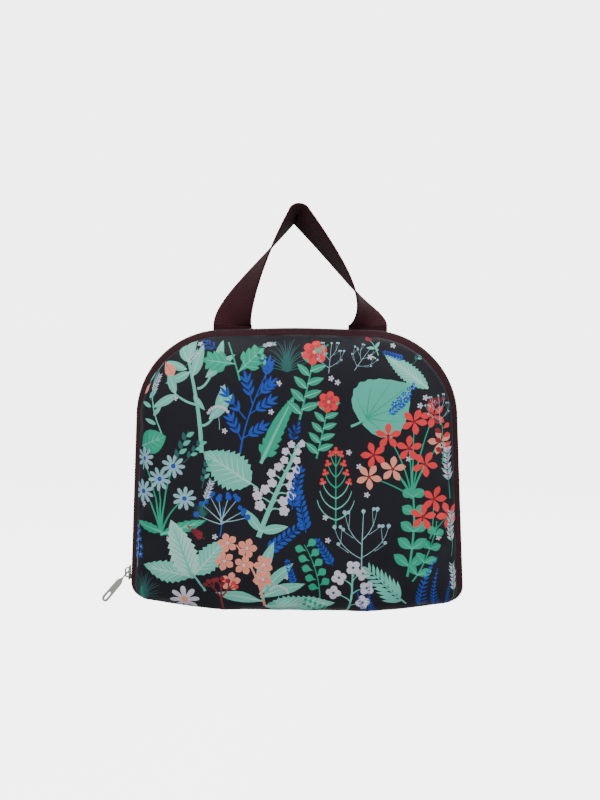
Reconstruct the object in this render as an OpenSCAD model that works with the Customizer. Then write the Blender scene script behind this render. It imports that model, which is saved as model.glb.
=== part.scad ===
// Hanging toiletry bag: a book-like pouch with a zip round three sides, a webbing handle
// and a hook that folds out. +X is to the right seen from the front, the front faces -Y, +Z is up.
// The origin is on the ground under the middle of the bag.

/* [Body] */
// Widest width, across the zip near the base
body_w = 268; // [230:1:300]
// Height of the pouch without its handle
body_h = 224; // [200:1:250]
// Depth of the closed pouch
body_d = 80; // [74:1:100]
// Depth of the front half, from the zip line to the front of its bulge
lid_d = 24; // [22:1:28]
// Radius of the two upper corners
top_r = 70; // [40:1:80]
// Radius of the two lower corners
base_r = 13; // [11:1:20]
// How much narrower each side is at the top than at the base
side_lean = 9; // [0:0.5:14]

/* [Handle] */
// Width of the webbing
web_w = 30; // [20:1:38]
// Height of the handle's fold above the pouch
handle_h = 90; // [75:1:105]
// Distance between the middles of the handle's sewn ends
handle_span = 107; // [96:1:118]

/* [Zips] */
// Width of the zip tape that shows beside the teeth
tape_w = 6; // [5:0.5:7]
// Height of the slider above the ground
slider_z = 27; // [24:1:40]
// Angle of the pull tab out from the zip
pull_tilt = 38; // [15:1:60]
// How far the pull tab is turned about its neck
pull_roll = 58; // [0:1:65]

/* [Inside] */
// Height of the slip pocket's upper edge
slip_pocket_z = 112; // [80:1:125]
// Height of the zipped pocket's zip
pocket_zip_z = 138; // [125:1:145]
// Length of the folding hook
hook_len = 58; // [50:1:62]

/* [Hidden] */

// Colours
PRINT = "#24242c";
WEBBING = "#4a2f36";
TAPE = "#35282d";
LINING = "#3c3a45";
MESH = "#24262c";
FOAM = "#d8d5cc";
NICKEL = "#bdbcb6";

// Places across the depth
zip_y = -body_d / 2 + lid_d;
back_y = body_d / 2;
coil_gap = 0.7;
coil_w = 3;
seam = coil_w + tape_w;
panel_rim_y = zip_y - seam;
gusset_y = zip_y + seam;
back_seam_y = back_y - 7;

// Layers, as insets from the line of the teeth
coil_t = 2.6;
tape_in = 1.2;
tape_t = 0.8;
skin_in = 1;
skin_t = 1;

// Layers under the printed skin, as depths below its outer face
foam_d = 1.3;
foam_t = 2;
lining_d = 3.6;
lining_t = 0.8;
inner_d = lining_d + lining_t;
binding_d = 1.2;
binding_t = 3;
binding_w = 2.4;

// Front outline: corner points and radii, counter-clockwise from the flat of the base
flat_half = 70;
corner_lift = 8;
top_arch = 3;
ground_z = -skin_in;
shoulder_z = body_h - top_arch;
side_x = body_w / 2;
shoulder_x = side_x - side_lean;
CORNERS = [
    [flat_half, ground_z], [side_x, corner_lift], [shoulder_x, shoulder_z], [0, body_h + 0.4],
    [-shoulder_x, shoulder_z], [-side_x, corner_lift], [-flat_half, ground_z]
];
RADII = [300, base_r, top_r, 500, top_r, base_r, 300];
STEPS = [2, 6, 12, 2, 12, 6, 2];
mid_z = body_h / 2;

// The zip ends under the lower corners; the fabric hinge lies between its ends
zip_end_x = 104;
base_seam_x = 104;
corner_z = 22;
hinge_gap = 0.4;

function unit(v) = v / norm(v);
function normal_angle(a, b) = atan2(a[0] - b[0], b[1] - a[1]);

// One rounded corner as [point, outward normal] pairs
function corner(a, b, c, r, n) =
    let (
        to_a = unit(a - b),
        to_c = unit(c - b),
        half = acos(to_a * to_c) / 2,
        centre = b + unit(to_a + to_c) * r / sin(half),
        start = normal_angle(a, b),
        turn = (normal_angle(b, c) - start + 540) % 360 - 180
    )
    [for (i = [0:n]) let (w = start + turn * i / n, d = [cos(w), sin(w)]) [centre + r * d, d]];

function corner_count() = len(CORNERS);
OUTLINE = [
    for (i = [0:corner_count() - 1])
    each corner(
        CORNERS[(i + corner_count() - 1) % corner_count()], CORNERS[i],
        CORNERS[(i + 1) % corner_count()], RADII[i], STEPS[i]
    )
];

function inset_outline(d) = [for (p = OUTLINE) p[0] - d * p[1]];

// The outline of a layer, drawn in by the same amount at the sides and the top; its foot stays down
function drawn_in(by, depth) = [
    for (p = inset_outline(skin_in + depth)) [p[0] * (1 - by / side_x), p[1] * (1 - by / body_h)]
];
function ring(by, depth, y) = [for (p = drawn_in(by, depth)) [p[0], y, p[1]]];
function reversed(list) = [for (i = [len(list) - 1:-1:0]) list[i]];

// Joins rings of equal count into one closed solid, with a flat cap on the first and the last
module loft(rings) {
    n = len(rings[0]);
    m = len(rings);
    first = [for (i = [n - 1:-1:0]) i];
    last = [for (i = [0:n - 1]) (m - 1) * n + i];
    polyhedron([for (r = rings) each r], concat([first], ring_walls(n, m, m - 1), [last]));
}

// A wall between an outer and an inner set of rings, open through its middle
module tube(outer, inner) {
    rings = concat(outer, reversed(inner));
    m = len(rings);
    polyhedron([for (r = rings) each r], ring_walls(len(rings[0]), m, m));
}

// Triangles between each ring of n points and the next, round the list of m rings
function ring_walls(n, m, count) = [
    for (k = [0:count - 1], i = [0:n - 1])
    let (j = (i + 1) % n, near = k * n, far = (k + 1) % m * n)
    each [[near + i, near + j, far + j], [near + i, far + j, far + i]]
];

// A flat shape drawn in X and Z, as thick as the stretch from y0 to y1
module along_y(y0, y1) {
    translate([0, y1, 0]) rotate([90, 0, 0]) linear_extrude(y1 - y0) children();
}

// A wall that follows the outline
module band(inset, thickness, y0, y1) {
    along_y(y0, y1) difference() {
        polygon(inset_outline(inset));
        polygon(inset_outline(inset + thickness));
    }
}

// The middle of the base, out to half_w on each side
module base_zone(half_w) {
    translate([-half_w, -body_d, -corner_z]) cube([2 * half_w, 2 * body_d, 2 * corner_z]);
}

// A wall on the sides and the top only
module zip_band(inset, thickness, y0, y1, end_x = zip_end_x) {
    difference() {
        band(inset, thickness, y0, y1);
        base_zone(end_x);
    }
}

module base_band(inset, thickness, y0, y1, end_x) {
    intersection() {
        band(inset, thickness, y0, y1);
        base_zone(end_x);
    }
}

// The lid's front: steps of [scale, share of the bulge], from its rim to its flat middle
DOME = [[1, 0], [0.985, 0.28], [0.95, 0.55], [0.88, 0.78], [0.76, 0.92], [0.55, 1]];
lid_draw = 4;
dome_h = lid_d - seam;

function dome_ring(step, depth) = [
    for (p = drawn_in(lid_draw, depth))
    [p[0] * step[0], panel_rim_y - (dome_h - depth) * step[1], mid_z + (p[1] - mid_z) * step[0]]
];

// A dome-shaped layer of the lid, from a depth below its outer face
module dome_layer(depth, thickness) {
    outer = [for (d = DOME) dome_ring(d, depth)];
    inner = [for (d = DOME) dome_ring(d, depth + thickness)];
    loft(concat(reversed(inner), outer));
}

// The back half's shell: steps of [how far it is drawn in, share of its depth]
back_h = back_y - gusset_y;
back_draw = 3;
BACK = [
    [back_draw, 0], [6, 0.32], [10, 0.66], [13, (back_seam_y - gusset_y) / back_h],
    [18, 0.94], [28, 0.985], [45, 1]
];
seam_step = 3;

function back_ring(step, depth) = ring(step[0], depth, gusset_y + (back_h - depth) * step[1]);
function back_rings(first, last, depth) = [for (k = [first:last]) back_ring(BACK[k], depth)];

module back_wall(depth, thickness) {
    tube(back_rings(0, seam_step, depth + thickness), back_rings(0, seam_step, depth));
}

module back_cup(first, depth, thickness) {
    last = len(BACK) - 1;
    loft(concat(
        reversed(back_rings(first, last, depth)), back_rings(first, last, depth + thickness)
    ));
}

/* Back half */

module back_panel() {
    color(PRINT) back_cup(seam_step, 0, skin_t);
}

module back_gusset() {
    color(PRINT) difference() {
        back_wall(0, skin_t);
        base_zone(base_seam_x);
    }
}

module base_panel() {
    color(PRINT) base_band(skin_in, skin_t, gusset_y, back_seam_y - skin_t, base_seam_x);
}

module hinge_binding() {
    color(TAPE) base_band(skin_in, skin_t, zip_y + hinge_gap, gusset_y, zip_end_x);
}

module gusset_foam() {
    color(FOAM) back_wall(foam_d, foam_t);
}

module back_foam() {
    color(FOAM) back_cup(seam_step, foam_d, foam_t);
}

module back_lining() {
    color(LINING) back_cup(0, lining_d, lining_t);
}

// A rolled seam edge inside the tape's seam
module binding(by, y0) {
    color(TAPE) along_y(y0, y0 + binding_w) difference() {
        polygon(drawn_in(by, binding_d));
        polygon(drawn_in(by, binding_d + binding_t));
    }
}

module back_binding() {
    difference() {
        binding(back_draw, gusset_y - binding_w - 0.1);
        base_zone(zip_end_x);
    }
}

// The zip's tape, between two edges given as [y, how far it is drawn in there], in order of y
module zip_tape(edges) {
    color(TAPE) difference() {
        tube(
            [for (e = edges) ring(e[1], tape_in - skin_in + tape_t, e[0])],
            [for (e = edges) ring(e[1], tape_in - skin_in, e[0])]
        );
        base_zone(zip_end_x);
    }
}

module back_zip_tape() {
    zip_tape([[zip_y + coil_w, 0], [gusset_y, back_draw]]);
}

stop_len = 3;
coil_end_x = zip_end_x + stop_len;

module back_coil() {
    color(WEBBING) zip_band(0, coil_t, zip_y + coil_gap, zip_y + coil_w, coil_end_x);
}

// Metal stops at the two ends of the teeth, on one side of the zip
module zip_stop(y0, y1) {
    color(NICKEL) for (x = [-coil_end_x + 0.1, zip_end_x + 0.1])
        intersection() {
            band(0.1, coil_t, y0, y1);
            translate([x, -body_d, -corner_z]) cube([stop_len - 0.2, 2 * body_d, 2 * corner_z]);
        }
}

module back_zip_stop() {
    zip_stop(zip_y + coil_gap, zip_y + coil_w);
}

// Short fabric tabs over the two ends of the zip
module zip_end_tabs() {
    tab_len = 14;
    color(TAPE) for (x = [-zip_end_x - 4, zip_end_x + 4 - tab_len])
        intersection() {
            band(skin_in + skin_t + 0.3, 0.9, zip_y + coil_w + 0.2, gusset_y - binding_w - 0.3);
            translate([x, -body_d, -corner_z]) cube([tab_len, 2 * body_d, 2 * corner_z]);
        }
}

/* Inside of the back half */

lining_face_y = back_y - inner_d;
slip_back_y = lining_face_y - 1.2;
slip_depth = 5.4;
slip_mesh_t = 0.6;
slip_half_w = 98;
slip_z = 12;

// A shallow mesh bag, sewn to the lining at its sides and foot and open at the top
module slip_pocket_mesh() {
    front_y = slip_back_y - slip_depth;
    foot = 3;
    color(MESH) difference() {
        translate([-slip_half_w, front_y - slip_mesh_t, slip_z])
            cube([2 * slip_half_w, slip_depth + slip_mesh_t, slip_pocket_z - slip_z]);
        translate([-slip_half_w + foot, front_y, slip_z + foot])
            cube([2 * (slip_half_w - foot), slip_depth + 1, slip_pocket_z]);
    }
}

module slip_pocket_elastic() {
    band_h = 9;
    color(TAPE) translate([-slip_half_w, slip_back_y - slip_depth - slip_mesh_t, slip_pocket_z])
        cube([2 * slip_half_w, 1, band_h]);
}

bottle_loops = 5;
bottle_z = 138;
bottle_h = 22;
bottle_pitch = 30;

// One elastic strap, tacked down between low loops
module bottle_elastic() {
    strap_t = 1;
    puff = 3;
    half = bottle_loops * bottle_pitch / 2;
    top = [
        for (i = [0:bottle_loops * 6])
        let (x = -half + bottle_pitch * i / 6)
        [x, -strap_t - puff * pow(sin(180 * (i % 6) / 6), 2)]
    ];
    under = [for (p = reversed(top)) [p[0], min(p[1] + strap_t, 0)]];
    color(TAPE) translate([0, lining_face_y - 0.4, bottle_z])
        linear_extrude(bottle_h) polygon(concat(top, under));
}

/* Folding hook */

hook_y = zip_y - 2;
hook_z = body_h - 16;
bar_r = 2;
tab_w = 19;
tab_in = 0.4;
tab_t = 1.2;

// Webbing looped round the hook's bar and sewn to the lining under the top
module hook_tab() {
    r = bar_r + tab_in;
    tail_len = 28;
    color(WEBBING) translate([-tab_w / 2, 0, 0]) rotate([90, 0, 90]) linear_extrude(tab_w)
        difference() {
            union() {
                translate([hook_y, hook_z]) circle(r + tab_t, $fn = 48);
                translate([hook_y, hook_z + r]) square([tail_len, tab_t]);
            }
            translate([hook_y, hook_z]) circle(r, $fn = 48);
        }
}

hook_t = 4;
hook_r = 15;
hook_bore_r = 10;
cheek_x = 10.5;
cheek_w = 3;

// A flat hook that hangs from a cross bar; its mouth is beside the stem
module hook() {
    centre = -hook_len + hook_r;
    ring_w = hook_r - hook_bore_r;
    mouth = [30, 74];
    color("#1d1d20") translate([0, hook_y, hook_z]) {
        rotate([0, 90, 0]) cylinder(r = bar_r, h = 2 * cheek_x + 0.2, center = true, $fn = 48);
        along_y(-hook_t / 2, hook_t / 2) {
            for (x = [-cheek_x - cheek_w, cheek_x])
                translate([x, -9]) square([cheek_w, 9 + bar_r]);
            polygon([
                [-cheek_x - cheek_w, -9], [-cheek_x - cheek_w, -5], [cheek_x + cheek_w, -5],
                [cheek_x + cheek_w, -9], [ring_w / 2, -17], [ring_w / 2, centre + hook_bore_r + 1],
                [-ring_w / 2, centre + hook_bore_r + 1], [-ring_w / 2, -17]
            ]);
            difference() {
                translate([0, centre]) circle(hook_r, $fn = 64);
                translate([0, centre]) circle(hook_bore_r, $fn = 64);
                translate([0, centre]) polygon(concat(
                    [[0, 0]], [for (a = [mouth[0]:11:mouth[1]]) 3 * hook_r * [cos(a), sin(a)]]
                ));
            }
            translate([0, centre]) rotate(mouth[0])
                translate([(hook_r + hook_bore_r) / 2, 0]) circle(ring_w / 2 + 0.4, $fn = 32);
        }
    }
}

/* Lid */

module front_panel() {
    color(PRINT) dome_layer(0, skin_t);
}

module lid_base_flap() {
    color(PRINT) base_band(skin_in, skin_t, panel_rim_y, zip_y - hinge_gap, zip_end_x);
}

module front_foam() {
    color(FOAM) dome_layer(foam_d, foam_t);
}

module front_lining() {
    color(LINING) dome_layer(lining_d, lining_t);
}

module lid_binding() {
    difference() {
        binding(lid_draw, panel_rim_y + 0.1);
        base_zone(zip_end_x);
    }
}

module lid_zip_tape() {
    zip_tape([[panel_rim_y, lid_draw], [zip_y - coil_w, 0]]);
}

module lid_coil() {
    color(WEBBING) zip_band(0, coil_t, zip_y - coil_w, zip_y - coil_gap, coil_end_x);
}

module lid_zip_stop() {
    zip_stop(zip_y - coil_w, zip_y - coil_gap);
}

/* Zipped pocket on the inside of the lid */

pocket_t = 0.6;
pocket_tape_h = 11;
pocket_chain_h = 5;
pocket_half_x = 106;

module pocket_part(z0, z1) {
    intersection() {
        along_y(panel_rim_y, panel_rim_y + pocket_t)
            polygon(drawn_in(lid_draw, binding_d + binding_t + 0.1));
        translate([-body_w, -body_d, z0]) cube([2 * body_w, 2 * body_d, z1 - z0]);
    }
}

module pocket_mesh() {
    color(MESH) pocket_part(-body_h, pocket_zip_z - pocket_tape_h);
}

module pocket_yoke() {
    color(LINING) pocket_part(pocket_zip_z + pocket_tape_h, 2 * body_h);
}

module pocket_tape_lower() {
    color(TAPE) pocket_part(pocket_zip_z - pocket_tape_h, pocket_zip_z - pocket_chain_h / 2);
}

module pocket_tape_upper() {
    color(TAPE) pocket_part(pocket_zip_z + pocket_chain_h / 2, pocket_zip_z + pocket_tape_h);
}

module pocket_coil() {
    half_w = pocket_chain_h / 2 - coil_gap;
    color(WEBBING) for (z = [pocket_zip_z - pocket_chain_h / 2, pocket_zip_z + coil_gap])
        translate([-pocket_half_x, panel_rim_y, z]) cube([2 * pocket_half_x, coil_t - 0.4, half_w]);
}

/* Zip slider. Drawn along X, mouth towards -X, outer face up, the teeth's outer face at z = 0 */

plate_len = 11;
mouth_w = 8.8;
tail_w = 6.4;
plate_t = 1.1;
plate_gap = 0.3;
crown_w = 2.2;
crown_len = 8.4;
crown_h = 3.4;
crown_t = 1.1;
pin_r = 0.75;
pin_h = plate_gap + plate_t + pin_r + 0.45;
arm_in = 1.5;
arm_out = 3;
window_len = 5.4;
pull_len = 31;
pocket_pull_len = 25;
pull_w = 6;
pull_t = 1.2;

module plate_outline() {
    polygon([
        [-plate_len / 2, -mouth_w / 2 + 1], [-plate_len / 2 + 1, -mouth_w / 2], [-1, -mouth_w / 2],
        [plate_len / 2, -tail_w / 2], [plate_len / 2, tail_w / 2], [-1, mouth_w / 2],
        [-plate_len / 2 + 1, mouth_w / 2], [-plate_len / 2, mouth_w / 2 - 1]
    ]);
}

// Two plates over and under the teeth, joined by a thin post that runs between them
module slider_plates(teeth_t) {
    post_len = 3.4;
    post_w = 0.8;
    gap = teeth_t + 2 * plate_gap;
    color(NICKEL) {
        translate([0, 0, plate_gap]) linear_extrude(plate_t) plate_outline();
        translate([0, 0, plate_gap - gap - plate_t]) linear_extrude(plate_t) plate_outline();
        translate([-plate_len / 2 + 0.4, -post_w / 2, plate_gap - gap - 0.1])
            cube([post_len, post_w, gap + 0.2]);
    }
}

// The arch over the outer plate that the pull tab hangs on
module crown_arch() {
    base = plate_gap + plate_t;
    color(NICKEL) translate([0, crown_w / 2, base]) rotate([90, 0, 0]) linear_extrude(crown_w)
        polygon([
            [-crown_len / 2, 0], [-crown_len / 2 + crown_t, 0],
            [-crown_len / 2 + crown_t, 1.6], [-crown_len / 2 + crown_t + 0.8, crown_h - crown_t],
            [crown_len / 2 - crown_t - 0.8, crown_h - crown_t], [crown_len / 2 - crown_t, 1.6],
            [crown_len / 2 - crown_t, 0], [crown_len / 2, 0], [crown_len / 2, 2],
            [crown_len / 2 - 1.2, crown_h], [-crown_len / 2 + 1.2, crown_h],
            [-crown_len / 2, 2]
        ]);
}

// A loop on a cross pin, and a flat tab that points to -X from it, turned about its own neck by roll.
// Its length is from pin to end, and the tab has a slot at its end
module pull(tilt, roll, length) {
    slot_len = 5;
    slot_r = 1.3;
    neck_r = 1.1;
    neck_len = 2.2;
    bar_len = 1.4;
    tab_x = -window_len - bar_len - neck_len / 2;
    end_x = -length + pull_w / 2;
    color(NICKEL) translate([0, 0, pin_h]) rotate([0, tilt, 0]) {
        rotate([90, 0, 0]) cylinder(r = pin_r, h = 2 * arm_out - 0.4, center = true, $fn = 24);
        translate([0, 0, -pull_t / 2]) linear_extrude(pull_t) {
            for (y = [-arm_out, arm_in])
                translate([-window_len, y]) square([window_len + 0.6, arm_out - arm_in]);
            translate([-window_len - bar_len, -arm_out]) square([bar_len + 0.1, 2 * arm_out]);
        }
        translate([-window_len - bar_len - neck_len, 0, 0]) rotate([0, 90, 0])
            cylinder(r = neck_r, h = neck_len + 0.1, $fn = 24);
        rotate([roll, 0, 0]) translate([0, 0, -pull_t / 2]) linear_extrude(pull_t) difference() {
            union() {
                polygon([
                    [tab_x, -1.6], [tab_x, 1.6], [tab_x - 3, pull_w / 2 - 0.4], [end_x, pull_w / 2],
                    [end_x, -pull_w / 2], [tab_x - 3, -pull_w / 2 + 0.4]
                ]);
                translate([end_x, 0]) circle(pull_w / 2, $fn = 40);
            }
            for (x = [end_x, end_x + slot_len]) translate([x, 0]) circle(slot_r, $fn = 32);
            translate([end_x, -slot_r]) square([slot_len, 2 * slot_r]);
        }
    }
}

// The line of teeth up the left side, and how far it leans from upright
lean_angle = atan((side_x - shoulder_x) / (shoulder_z - corner_lift));
slider_x = -side_x + (slider_z - corner_lift) * tan(lean_angle);

module at_slider() {
    translate([slider_x, zip_y, slider_z]) rotate([0, lean_angle - 90, 0]) children();
}

pocket_slider_x = 88;

module at_pocket_slider() {
    translate([pocket_slider_x, panel_rim_y + coil_t - 0.4, pocket_zip_z]) rotate([-90, 0, 0])
        children();
}

module slider_body() {
    at_slider() slider_plates(coil_t);
}

module slider_crown() {
    at_slider() crown_arch();
}

// The leaf spring that locks the slider, under the crown's tail end
module slider_spring() {
    spring_len = 1.6;
    color(NICKEL) at_slider()
        translate([crown_len / 2 - crown_t - spring_len - 0.1, -0.7, plate_gap + plate_t])
            cube([spring_len, 1.4, 0.3]);
}

module pull_tab() {
    at_slider() pull(pull_tilt, pull_roll, pull_len);
}

module pocket_slider_body() {
    at_pocket_slider() slider_plates(coil_t - 0.4 + pocket_t);
}

module pocket_slider_crown() {
    at_pocket_slider() crown_arch();
}

pocket_pull_tilt = 8;

module pocket_pull_tab() {
    at_pocket_slider() pull(pocket_pull_tilt, 0, pocket_pull_len);
}

/* Handle */

web_t = 1.4;
handle_y = gusset_y;
handle_z = body_h + 0.8;
left_x = -handle_span / 2 + 2.5;
right_x = handle_span / 2 + 2.5;
leg_start = 0.5;
leg_steps = 14;
fold_r = 2.5;
fold_c = [0, handle_h - fold_r - web_t / 2];
fold_steps = 4;
rise_mid = [left_x, 0.2 * handle_h];
fall_mid = [right_x, 0.26 * handle_h];

// Slope of the straight line from a point to the fold's circle
function slope_to_fold(p) =
    let (way = fold_c - p) atan2(way[1], abs(way[0])) + asin(fold_r / norm(way));

rise_angle = slope_to_fold(rise_mid);
fall_angle = slope_to_fold(fall_mid);

function bezier(a, b, c, t) = (1 - t) * (1 - t) * a + 2 * t * (1 - t) * b + t * t * c;
function bezier_way(a, b, c, t) = unit(2 * (1 - t) * (b - a) + 2 * t * (c - b));

rise_end = fold_c + fold_r * [-sin(rise_angle), cos(rise_angle)];
fall_start = fold_c + fold_r * [sin(fall_angle), cos(fall_angle)];

// Stations along the webbing: [middle, direction, twist from flat to edge-on]
WEB = concat(
    [
        for (i = [0:leg_steps]) let (t = i / leg_steps)
        [
            bezier([left_x, leg_start], rise_mid, rise_end, t),
            bezier_way([left_x, leg_start], rise_mid, rise_end, t),
            105 * (1 - pow(1 - t, 1.1))
        ]
    ],
    [
        for (i = [1:fold_steps - 1])
        let (t = i / fold_steps, a = rise_angle - (rise_angle + fall_angle) * t)
        [fold_c + fold_r * [-sin(a), cos(a)], [cos(a), sin(a)], 105 + 20 * t]
    ],
    [
        for (i = [0:leg_steps]) let (t = i / leg_steps)
        [
            bezier(fall_start, fall_mid, [right_x, leg_start], t),
            bezier_way(fall_start, fall_mid, [right_x, leg_start], t),
            125 - 50 * t - 75 * pow(t, 5)
        ]
    ]
);

// The four edges of the webbing at one station
function web_ring(s) =
    let (
        out = [-s[1][1], 0, s[1][0]],
        across = cos(s[2]) * out + [0, sin(s[2]), 0],
        through = -sin(s[2]) * out + [0, cos(s[2]), 0],
        middle = [s[0][0], handle_y, handle_z + s[0][1]]
    )
    [
        for (k = [[1, 1], [-1, 1], [-1, -1], [1, -1]])
        middle + k[0] * across * web_w / 2 + k[1] * through * web_t / 2
    ];

module handle() {
    color(WEBBING) loft([for (s = reversed(WEB)) web_ring(s)]);
}

// The webbing's two ends, standing out of the gusset's seam up to where they bend
module handle_ends() {
    end_len = 3.8;
    color(WEBBING) for (x = [left_x, right_x])
        translate([x - web_w / 2, handle_y - web_t / 2, handle_z - 0.7 - end_len])
            cube([web_w, web_t, end_len]);
}

back_panel();
back_gusset();
base_panel();
hinge_binding();
gusset_foam();
back_foam();
back_lining();
back_binding();
back_zip_tape();
back_coil();
back_zip_stop();
zip_end_tabs();
handle_ends();
slip_pocket_mesh();
slip_pocket_elastic();
bottle_elastic();
hook_tab();
front_panel();
lid_base_flap();
front_foam();
front_lining();
lid_binding();
lid_zip_tape();
lid_coil();
lid_zip_stop();
pocket_mesh();
pocket_yoke();
pocket_tape_lower();
pocket_tape_upper();
pocket_coil();
slider_body();
slider_crown();
slider_spring();
pull_tab();
handle();
hook();
pocket_slider_body();
pocket_slider_crown();
pocket_pull_tab();
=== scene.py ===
"""Looks of the hanging toiletry bag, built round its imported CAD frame.

Shapes are worked out in millimetres in the CAD's own frame (X right, the front faces -Y, Z up) and become
metres as each mesh is made. A panel is a grid of points; its print is drawn flat and laid over that grid.
"""

import math
import random

import bpy
import numpy as np
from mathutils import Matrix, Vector, kdtree, noise
from mathutils.geometry import delaunay_2d_cdt


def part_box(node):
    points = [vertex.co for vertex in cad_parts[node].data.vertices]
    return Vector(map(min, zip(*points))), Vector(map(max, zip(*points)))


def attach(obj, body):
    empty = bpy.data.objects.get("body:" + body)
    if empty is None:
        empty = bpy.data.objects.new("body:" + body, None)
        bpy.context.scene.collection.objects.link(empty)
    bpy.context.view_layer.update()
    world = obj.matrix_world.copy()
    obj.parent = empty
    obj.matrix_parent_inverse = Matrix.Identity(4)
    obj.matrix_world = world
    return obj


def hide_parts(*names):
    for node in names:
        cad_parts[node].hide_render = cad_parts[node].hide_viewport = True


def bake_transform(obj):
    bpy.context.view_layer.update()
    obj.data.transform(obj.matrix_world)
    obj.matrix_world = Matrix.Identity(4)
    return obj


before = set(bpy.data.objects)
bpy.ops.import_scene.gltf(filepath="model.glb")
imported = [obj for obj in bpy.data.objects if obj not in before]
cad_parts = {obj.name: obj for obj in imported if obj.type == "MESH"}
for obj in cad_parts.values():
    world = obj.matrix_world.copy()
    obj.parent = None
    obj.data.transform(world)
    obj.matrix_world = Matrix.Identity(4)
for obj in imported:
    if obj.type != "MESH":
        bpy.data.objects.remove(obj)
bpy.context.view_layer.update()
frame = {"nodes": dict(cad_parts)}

MM = 0.001


def node_box(name):
    """The lowest and the highest corner of a CAD node, in millimetres."""
    low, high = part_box(name)
    return np.array(low) / MM, np.array(high) / MM


# ---------------------------------------------------------------- sizes taken from the frame

coil_low, coil_high = node_box("back_coil")
panel_low, panel_high = node_box("front_panel")
gusset_low, _ = node_box("back_gusset")
back_low, back_high = node_box("back_panel")

SIDE_X = coil_high[0]
BODY_H = 224.0
MID_Z = BODY_H / 2
ZIP_Y = coil_low[1] - 0.7
COIL_W = 3.0
COIL_T = 2.6
RIM_Y = panel_high[1]
FRONT_Y = panel_low[1]
GUSSET_Y = gusset_low[1]
BACK_SEAM_Y = back_low[1]
BACK_Y = back_high[1]
ZIP_END_X = 104.0
COIL_END_X = 107.0
CORNER_Z = 22.0
SKIN_IN = 1.0
TAPE_IN = 1.2
LINING_DEPTH = 4.4
LID_DRAW = 4.0
BACK_DRAW = 3.0

# Front outline, as in the CAD: corner points and radii, counter-clockwise from the flat of the base
SHOULDER_X = SIDE_X - 9
CORNERS = [
    (70, -1), (SIDE_X, 8), (SHOULDER_X, BODY_H - 3), (0, BODY_H + 0.4),
    (-SHOULDER_X, BODY_H - 3), (-SIDE_X, 8), (-70, -1),
]
RADII = [300, 13, 70, 500, 70, 13, 300]
OUTLINE_STEP = 2.0


def unit(v):
    return v / np.linalg.norm(v)


def outline_points():
    """Points about OUTLINE_STEP apart round the bag, with the outward normal at each."""
    corners = np.array(CORNERS, float)
    count = len(corners)
    points, normals = [], []
    for i in range(count):
        a, b, c = corners[i - 1], corners[i], corners[(i + 1) % count]
        to_a, to_c = unit(a - b), unit(c - b)
        half = math.acos(np.clip(to_a @ to_c, -1, 1)) / 2
        centre = b + unit(to_a + to_c) * RADII[i] / math.sin(half)
        start = math.atan2(a[0] - b[0], b[1] - a[1])
        end = math.atan2(b[0] - c[0], c[1] - b[1])
        turn = (end - start + math.pi) % (2 * math.pi) - math.pi
        steps = max(2, round(abs(turn) * RADII[i] / OUTLINE_STEP))
        for k in range(steps + 1):
            angle = start + turn * k / steps
            normals.append(np.array([math.cos(angle), math.sin(angle)]))
            points.append(centre + RADII[i] * normals[-1])
        nxt = corner_start(corners, (i + 1) % count)
        straight = np.linalg.norm(nxt - points[-1])
        last, fill = points[-1], int(straight / OUTLINE_STEP)
        for k in range(1, fill):
            points.append(last + (nxt - last) * k / fill)
            normals.append(normals[-1])
    return np.array(points), np.array(normals)


def corner_start(corners, i):
    """Where the rounding of corner i begins."""
    a, b, c = corners[i - 1], corners[i], corners[(i + 1) % len(corners)]
    half = math.acos(np.clip(unit(a - b) @ unit(c - b), -1, 1)) / 2
    return b + unit(a - b) * RADII[i] / math.tan(half)


OUTLINE, NORMALS = outline_points()


def drawn_in(by, inset):
    """The outline, inset all round and drawn in at the sides and the top, as in the CAD."""
    return (OUTLINE - inset * NORMALS) * [1 - by / SIDE_X, 1 - by / BODY_H]


def at_y(flat, y):
    """Points drawn in X and Z, put at one depth."""
    return np.column_stack([flat[:, 0], np.full(len(flat), y), flat[:, 1]])


def beyond_base(end_x):
    """Which points of the outline run up one side, over the top and down the other."""
    return (np.abs(OUTLINE[:, 0]) > end_x) | (OUTLINE[:, 1] > CORNER_Z)


def rail(by, inset, y, end_x=ZIP_END_X):
    """That stretch of the outline, drawn in and put at one depth."""
    return at_y(drawn_in(by, inset)[beyond_base(end_x)], y)


def smooth_through(xs, ys, x):
    """A smooth curve through a few given points, read at x."""
    xs, ys, x = np.array(xs, float), np.array(ys, float), np.asarray(x, float)
    slope = np.gradient(ys, xs)
    k = np.clip(np.searchsorted(xs, x) - 1, 0, len(xs) - 2)
    h = xs[k + 1] - xs[k]
    t = (x - xs[k]) / h
    return (
        (2 * t**3 - 3 * t**2 + 1) * ys[k] + (t**3 - 2 * t**2 + t) * h * slope[k]
        + (3 * t**2 - 2 * t**3) * ys[k + 1] + (t**3 - t**2) * h * slope[k + 1]
    )


# ---------------------------------------------------------------- materials


def srgb(r, g, b):
    """A screen colour, 0 to 255, as linear light with alpha."""
    linear = (c / 255 / 12.92 if c < 11 else ((c / 255 + 0.055) / 1.055) ** 2.4 for c in (r, g, b))
    return tuple(linear) + (1,)


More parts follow.
